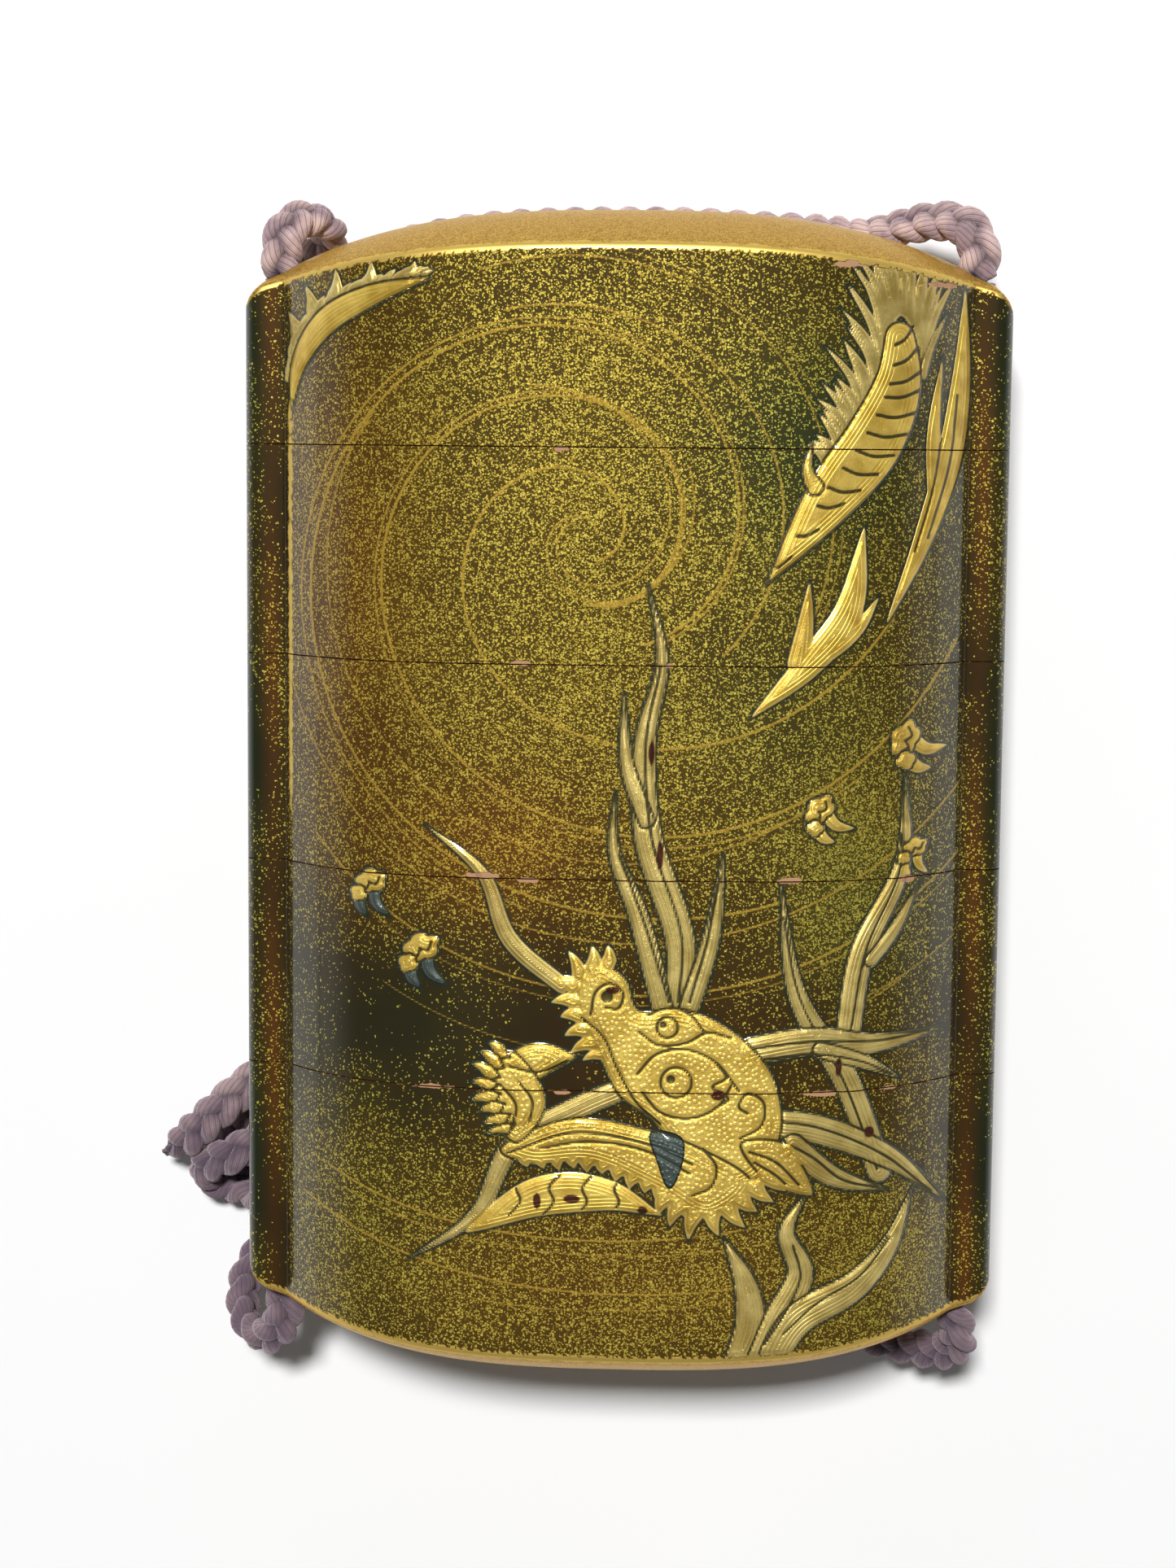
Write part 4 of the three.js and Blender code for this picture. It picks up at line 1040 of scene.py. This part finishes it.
def panel_columns(count):
    """Places and normals across one panel, from corner to corner."""
    flat_x = np.linspace(-corner_x, corner_x, count)
    x = np.concatenate([-arc_x[::-1], flat_x, arc_x])
    z = np.concatenate([arc_z[::-1], panel_half_thickness(flat_x), arc_z])
    slope = np.zeros_like(x)
    inner = np.abs(x) < panel_half
    slope[inner] = -4 * front_rise * x[inner] ** 3 / panel_half ** 4
    normal = unit(np.stack([-slope, np.ones_like(x)], axis=1))
    turns = np.concatenate([-arc_turns[::-1], arc_turns])
    ends = np.r_[0:4, len(x) - 4:len(x)]
    normal[ends] = np.stack([np.sin(turns), np.cos(turns)], axis=1)
    return x, z, normal


upper_x, upper_z, upper_normal = panel_columns(front_columns)
lower_x, lower_z, lower_normal = panel_columns(back_columns)
side_z = corner_z * np.concatenate([dome_front_shares[1:], dome_back_shares[:-1]])
side_ones = np.ones(len(side_z))
section_x = np.concatenate([upper_x, half_width * side_ones, lower_x[::-1], -half_width * side_ones])
section_z = np.concatenate([upper_z, side_z, -lower_z[::-1], side_z[::-1]])
section_normal = np.concatenate([upper_normal, np.outer(side_ones, [1.0, 0.0]),
                                 lower_normal[::-1] * [1, -1], np.outer(side_ones, [-1.0, 0.0])])
section_front = np.arange(len(section_x)) < len(upper_x)
local_half = np.concatenate([panel_half_thickness(upper_x), runner_half * side_ones,
                             panel_half_thickness(lower_x[::-1]), runner_half * side_ones])


def zipped(first, second, first_place, second_place):
    """Triangles between two rows of unlike numbers of points, in order of place."""
    i = j = 0
    while i < len(first) - 1 or j < len(second) - 1:
        if j == len(second) - 1 or (i < len(first) - 1 and first_place[i + 1] <= second_place[j + 1]):
            yield first[i], first[i + 1], second[j]
            i += 1
        else:
            yield first[i], second[j + 1], second[j]
            j += 1


def oblong(inset, y, count=72):
    """A ring of the riser's rounded oblong, drawn in by inset."""
    turn = np.linspace(0, 2 * np.pi, count, endpoint=False)
    c, s = np.cos(turn), np.sin(turn)
    x = (riser_x - inset) * np.sign(c) * np.abs(c) ** (2 / 4)
    z = (riser_z - inset) * np.sign(s) * np.abs(s) ** (2 / 2.5)
    return np.stack([x, np.full(count, y), middle_height + z], axis=1)


def hollow_end(y, way):
    """The rounded foot of a hollow that ends at y: an inset and a place for each ring."""
    return [(riser_wall, y + 0.8 * way), (riser_wall + 0.3, y + 0.25 * way), (riser_wall + 0.9, y)]


def bore_ring(side, y):
    turn = np.linspace(0, 2 * np.pi, 32, endpoint=False)
    x = side * bore_side + bore_radius * np.cos(turn)
    z = middle_height + bore_radius * np.sin(turn)
    return np.stack([x, np.broadcast_to(y, x.shape), z], axis=1)


def wall_row(y, fade=1.0, inset=0.0):
    """One row of the outer wall: the section pushed out by the relief on its front."""
    y = np.broadcast_to(y, section_x.shape)
    rise = np.zeros_like(section_x)
    rise[section_front] = relief(section_x[section_front], y[section_front])
    rise = rise * fade - inset
    x = section_x + section_normal[:, 0] * rise
    z = section_z + section_normal[:, 1] * rise
    return np.stack([x, y, middle_height + z], axis=1)


class Shell:
    """Points and faces of one tier, gathered strip by strip and welded at the end."""

    def __init__(self):
        self.points, self.faces, self.inner, self.count = [], [], [], 0

    def add(self, points):
        points = np.asarray(points, float).reshape(-1, 3)
        self.points.append(points)
        self.count += len(points)
        return np.arange(self.count - len(points), self.count)

    def put(self, faces, inner):
        faces = list(faces)
        self.faces += faces
        self.inner += [inner] * len(faces)

    def ring(self, first, second, inner=False):
        """Quads between two closed rows of as many points."""
        rows = zip(first, np.roll(first, -1), np.roll(second, -1), second)
        self.put([tuple(corners) for corners in rows], inner)

    def filled(self, loops):
        """A flat face with holes, inside the tier: its outline first, then each hole."""
        everything = np.concatenate(self.points)
        rings = [[Vector(everything[k]) for k in loop] for loop in loops]
        names = np.concatenate(loops)
        self.put([(names[a], names[b], names[c]) for a, b, c in tessellate_polygon(rings)], True)

    def well(self, foot, levels):
        """Inner walls from a ring through further ones, each an inset and a place, and a floor."""
        rings = [foot] + [self.add(oblong(inset, y)) for inset, y in levels]
        for first, second in zip(rings, rings[1:]):
            self.ring(first, second, inner=True)
        self.filled([rings[-1]])

    def seam_face(self, wall_end, y, foot_inset, faces_down=False):
        """The flat face at a seam, sunk a little so that the joint shows as a dark line."""
        bores = [self.add(bore_ring(side, y)) for side in (-1, 1)]
        seam = self.add(wall_row(y, inset=seam_groove))
        first, second = (seam, wall_end) if faces_down else (wall_end, seam)
        self.ring(first, second, inner=True)
        foot = self.add(oblong(foot_inset, y))
        self.filled([seam, foot, *bores])
        return bores, foot


def outer_rows(near, far, domed_end, flip):
    """The outer wall's rows, from the seam nearest the stack's middle outwards."""
    start = near + gap
    if not domed_end:
        steps = int((far - near) / row_step)
        between = np.linspace(start + first_row, far - gap - first_row, steps)
        return [wall_row(y) for y in (start, *between, far - gap)]
    edge_radius = end_round * np.clip((np.abs(section_z) - corner_z) / side_corner, 0, 1)
    top = side_end + end_rise(section_x, section_z / local_half) - edge_radius
    rows = [wall_row(flip * start), wall_row(flip * (start + first_row))]
    steps = int(round((side_end + rim_rise - near) / row_step))
    for share in np.linspace(0, 1, steps)[1:]:
        y = start + first_row + (top - start - first_row) * share
        rows.append(wall_row(flip * y, fade=np.clip((top - y) / relief_fade, 0, 1)))
    return rows


def add_dome(shell, flip):
    """A domed end: a narrow rounded edge, then the dome over front and back."""
    last_rows = []
    for x, z, shares, sign in ((upper_x, upper_z, dome_front_shares, 1),
                               (lower_x, lower_z, -dome_back_shares[::-1], -1)):
        radius = end_round * np.clip((z - corner_z) / side_corner, 0, 1)
        inward = 1 - radius / z
        start = np.stack([x, end_y(x, z) - radius, z], axis=1)
        corner = np.stack([x, end_y(x, z), z], axis=1)
        finish = np.stack([x, end_y(x, z * inward), z * inward], axis=1)
        grid = [(1 - t) ** 2 * start + 2 * t * (1 - t) * corner + t * t * finish
                for t in (0, 0.25, 0.5, 0.75)]
        for share in shares:
            depth = z * inward * share
            grid.append(np.stack([x, end_y(x, depth), depth], axis=1))
        for row in grid:
            row[:, 1] *= flip
            row[:, 2] = middle_height + sign * row[:, 2]
        rows = [shell.add(row) for row in grid]
        everything = np.concatenate(shell.points)
        for first, second in zip(rows, rows[1:]):
            for corners in zip(first, first[1:], second[1:], second):
                spots = everything[list(corners)]
                away = np.hypot(np.abs(spots[:, 0]) - bore_side, spots[:, 2] - middle_height)
                if away.min() > mouth_hole:
                    shell.put([corners], False)
        last_rows.append(rows[-1])
    beside, past_sides = bore_radius + 0.1, half_width + 1
    outside, inside = bore_side + beside, bore_side - beside
    for start_x, end_x in ((-past_sides, -outside), (-inside, inside), (outside, past_sides)):
        kept = [(x >= start_x) & (x <= end_x) for x in (upper_x, lower_x)]
        shell.put(zipped(last_rows[0][kept[0]], last_rows[1][kept[1]],
                         upper_x[kept[0]], lower_x[kept[1]]), False)


def stripe(across, place_and_reach):
    place, reach = place_and_reach
    return np.exp(-((across - place) / reach) ** 2)


def tier_looks(points, front, on_wall, domed_end, flip):
    """Each point's share of drawing, colour, age and painted highlight, for the lacquer's material."""
    x, y, z = points[:, 0], points[:, 1], points[:, 2] - middle_height

    def held(field, otherwise):
        return np.where(front, sampled(field, x, y), otherwise)

    gilding, russet, green = np.full(len(x), 0.30), np.zeros(len(x)), np.zeros(len(x))
    for cx, cy, rx, ry, more_gold, more_red, more_green in ground_clouds:
        near_cloud = np.exp(-((x - cx) / rx) ** 2 - ((y - cy) / ry) ** 2)
        gilding += more_gold * near_cloud
        russet += more_red * near_cloud
        green += more_green * near_cloud
    runner = np.abs(x) > panel_half - 0.3
    sway = np.sin(y * 0.21 + 1.0 + x)
    russet_there = 0.40 * stripe(np.abs(x), russet_stripe) * (1 + 0.5 * sway)
    green_there = 0.5 * stripe(np.abs(x), green_stripe) * (1 - 0.4 * sway)
    gilding = np.where(runner, 0.12 + 0.07 * sway, gilding)
    russet = np.where(runner, russet_there, russet)
    green = np.where(runner, green_there, green)

    rim, chip = np.zeros(len(x)), np.zeros(len(x))
    on_dome = np.zeros(len(x), bool)
    # The gold line along the rims of the domed ends: partly rubbed wear, partly a painted highlight.
    if domed_end:
        rim_width = 0.22 if flip < 0 else 0.34
        up_wall = np.abs(end_y(x, z) - flip * y)
        rim = np.where(on_wall, np.clip(1.05 - up_wall / rim_width, 0, 1), 0.0)
        on_dome = ~on_wall & (np.abs(y) > side_end - 2)
        gilding = np.where(on_dome, 0.85, gilding)
        russet = np.where(on_dome, 0.15, russet)
        green = np.where(on_dome, 0.0, green)
        along_z = np.abs(z) / panel_half_thickness(x)
        rim = np.where(on_dome, np.clip((along_z - 0.94) / 0.06, 0, 1), rim)
    # A painted highlight: a thin gold line along the panel's left edge, fading out at both ends.
    painted_glint = stripe(x, painted_glint_line) * np.clip((y + 10) / 12, 0, 1)
    rim = np.where(front, np.maximum(rim, 0.8 * painted_glint * np.clip((33 - y) / 4, 0, 1)), rim)
    for cx, cy, rx, ry in seam_chips:
        spot = 1.0 - np.hypot((x - cx) / rx, (y - cy) / ry) * 0.6
        chip = np.maximum(chip, np.where(front, spot, 0.0))
    return {
        "domed": on_dome.astype(float),
        "drawing": np.stack([held(figure_field, far_out), held(cut_field, far_cut),
                             held(whirl_field, far_cut)], axis=1),
        "ground": np.clip(np.stack([gilding, russet, green], axis=1), 0, 1),
        "rim_chip_pale": np.stack([rim, chip, held(pale_field, 0.0)], axis=1),
        "detail": np.stack([held(pearl_field, 0.0), held(steel_field, -far_cut),
                            held(worn_field, -1.0)], axis=1),
    }


def edge_rings(edges):
    """Chains of points from loose edges, each closed on itself."""
    rings = []
    while edges:
        edge = edges.pop()
        ring = [edge.verts[0], edge.verts[1]]
        while True:
            step = next((e for e in edges if ring[-1] in e.verts), None)
            if step is None:
                break
            edges.remove(step)
            ring.append(step.other_vert(ring[-1]))
        if ring[-1] is ring[0]:
            ring.pop()
        rings.append(ring)
    return rings


def close_mouths(work, flip):
    """Join each bore's mouth to the edge of the hole left round it in the dome."""
    for side in (-1, 1):
        centre = Vector((side * bore_side * mm, 0, middle_height * mm))

        def angle_of(vert):
            return math.atan2(vert.co.z - centre.z, vert.co.x - centre.x)

        def reach_of(vert):
            return math.hypot(vert.co.z - centre.z, vert.co.x - centre.x)

        open_edges = [edge for edge in work.edges if len(edge.link_faces) == 1
                      and flip * edge.verts[0].co.y > mouth_low * mm
                      and max(reach_of(v) for v in edge.verts) < mouth_reach * mm]
        rings = edge_rings(open_edges)
        rings.sort(key=lambda ring: sum(reach_of(v) for v in ring) / len(ring))
        mouth = []
        for ring in (rings[0], rings[-1]):
            turn = sum((angle_of(b) - angle_of(a) + math.pi) % (2 * math.pi) - math.pi
                       for a, b in zip(ring, ring[1:] + ring[:1]))
            if turn < 0:
                ring.reverse()
            start = min(range(len(ring)), key=lambda k: angle_of(ring[k]))
            ring = ring[start:] + ring[:start + 1]
            angles = [angle_of(v) for v in ring]
            angles[-1] += 2 * math.pi
            mouth.append((ring, np.maximum.accumulate(angles)))
        (inner, inner_angles), (outer, outer_angles) = mouth
        for corners in zipped(inner, outer, inner_angles, outer_angles):
            if len(set(corners)) == 3 and work.faces.get(corners) is None:
                work.faces.new(corners).smooth = True


def build_tier(name, low, high, is_base=False, is_lid=False):
    shell = Shell()
    flip = -1 if is_base else 1
    domed_end = is_base or is_lid
    near, far = (-high, -low) if is_base else (low, high)
    wall = [shell.add(row) for row in outer_rows(near, far, domed_end, flip)]
    for first, second in zip(wall, wall[1:]):
        shell.ring(first, second)
    wall_points = shell.count
    if domed_end:
        add_dome(shell, flip)

    # The riser over this tier's hollow, the recess for the one below, and the bores.
    bores = {}
    if not is_lid:
        bores["high"], foot = shell.seam_face(wall[0 if is_base else -1], high - seat, 0.0)
        lip = high + riser_height
        floor_y = -end_floor if is_base else low + riser_height + riser_clearance + floor_thickness
        shell.well(foot, [(0.0, lip - lip_round), (lip_bevel, lip), (riser_wall - lip_bevel, lip),
                          (riser_wall, lip - lip_round), *hollow_end(floor_y, 1)])
    if not is_base:
        bores["low"], foot = shell.seam_face(wall[0], low + seat, -riser_clearance, True)
        roof = low + riser_height + riser_clearance
        levels = [(-riser_clearance, roof)]
        if is_lid:
            levels += [(riser_wall, roof), *hollow_end(end_floor, -1)]
        shell.well(foot, levels)
    if domed_end:
        mouths = [bore_ring(side, 0.0) for side in (-1, 1)]
        for ring in mouths:
            ring[:, 1] = flip * end_y(ring[:, 0], ring[:, 2] - middle_height)
        bores["low" if is_base else "high"] = [shell.add(ring) for ring in mouths]
    for first, second in zip(bores["low"], bores["high"]):
        shell.ring(first, second, inner=True)

    points = np.concatenate(shell.points)
    order = np.arange(len(points))
    on_wall = order < wall_points
    front = on_wall & section_front[order % len(section_x)]
    values = tier_looks(points, front, on_wall, domed_end, flip)
    faces = [tuple(int(corner) for corner in face) for face in shell.faces]
    piece = add_object(name + "_lacquered", points * mm, faces, values)
    piece.data.materials.append(lacquer)
    piece.data.materials.append(inner_lacquer)
    piece.data.polygons.foreach_set("material_index", [int(flag) for flag in shell.inner])

    work = bmesh.new()
    work.from_mesh(piece.data)
    bmesh.ops.remove_doubles(work, verts=work.verts, dist=weld)
    bmesh.ops.dissolve_degenerate(work, edges=work.edges, dist=1e-7)
    if domed_end:
        close_mouths(work, flip)
    bmesh.ops.recalc_face_normals(work, faces=work.faces)
    work.to_mesh(piece.data)
    work.free()
    piece.data.set_sharp_from_angle(angle=math.radians(50))
    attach(piece, "root")
    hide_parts(name)


build_tier("case_4", -side_end, tier_seams[0], is_base=True)
for name, low, high in zip(("case_3", "case_2", "case_1"), tier_seams, tier_seams[1:]):
    build_tier(name, low, high)
build_tier("lid", tier_seams[3], side_end, is_lid=True)


# Inside the bores the same plait runs straight from mouth to mouth, out of sight. Its two
# hidden stretches stay the plain round runs of the solid, mauve with painted shade in the twist.
def channel_silk_material():
    material, tree, shader = new_material("channel_silk")
    where = object_place(tree)
    twist = node(tree, "ShaderNodeTexWave", {"Vector": where, "Scale": 260.0, "Distortion": 2.0},
                 bands_direction="DIAGONAL").outputs["Fac"]
    height = times_plus(tree, noise(tree, where, 5200.0, 3.0), 0.4, twist)
    plug(tree, shader, {"Base Color": blended(tree, twist, silk_shadow, silk_mauve),
                        "Normal": bumped(tree, height, 0.7, 0.00012), "Roughness": 0.85})
    return material


channel_silk = channel_silk_material()
for name in ("cord_left_channel", "cord_right_channel"):
    run = bpy.data.objects.get(name)
    run.data.materials.clear()
    run.data.materials.append(channel_silk)


# The studio: a white floor under the stack, a lamp high beyond its lid, and a sky that
# glows near the floor and is dim overhead.
def grey(level):
    return level, level, level


def white_paper_material():
    material, tree, shader = new_material("white_paper")
    clouds = noise(tree, object_place(tree), 30.0, 2.0)
    plug(tree, shader, {"Base Color": blended(tree, clouds, grey(0.90), grey(0.93)),
                        "Roughness": 0.9})
    return material


floor_reach = 3.0
floor_corners = [(x * floor_reach, y * floor_reach, 0) for x, y in ((-1, -1), (1, -1), (1, 1), (-1, 1))]
studio_floor = add_object("studio_floor", floor_corners, [(0, 1, 2, 3)], smooth=False)
studio_floor.data.materials.append(white_paper_material())

lamp_place = Vector((-0.075, 0.48, 1.155))
lamp_data = bpy.data.lights.new("key_lamp", "AREA")
lamp_data.shape = "RECTANGLE"
lamp_data.size, lamp_data.size_y = 0.195, 0.15
lamp_data.energy = 17.0
key_lamp = bpy.data.objects.new("key_lamp", lamp_data)
lamp_turn = (-lamp_place).to_track_quat("-Z", "Y").to_matrix().to_4x4()
key_lamp.matrix_world = Matrix.Translation(lamp_place) @ lamp_turn
bpy.context.scene.collection.objects.link(key_lamp)

sky = bpy.data.worlds.new("sky")
sky.use_nodes = True
sky_tree = sky.node_tree
skyward = node(sky_tree, "ShaderNodeTexCoord").outputs["Generated"]
upward = node(sky_tree, "ShaderNodeSeparateXYZ", {0: skyward}).outputs[2]
glow = blended(sky_tree, step_between(sky_tree, upward, 0.02, 0.42), grey(0.62), grey(0.08))
sky_tree.links.new(glow, sky_tree.nodes["Background"].inputs[0])
bpy.context.scene.world = sky
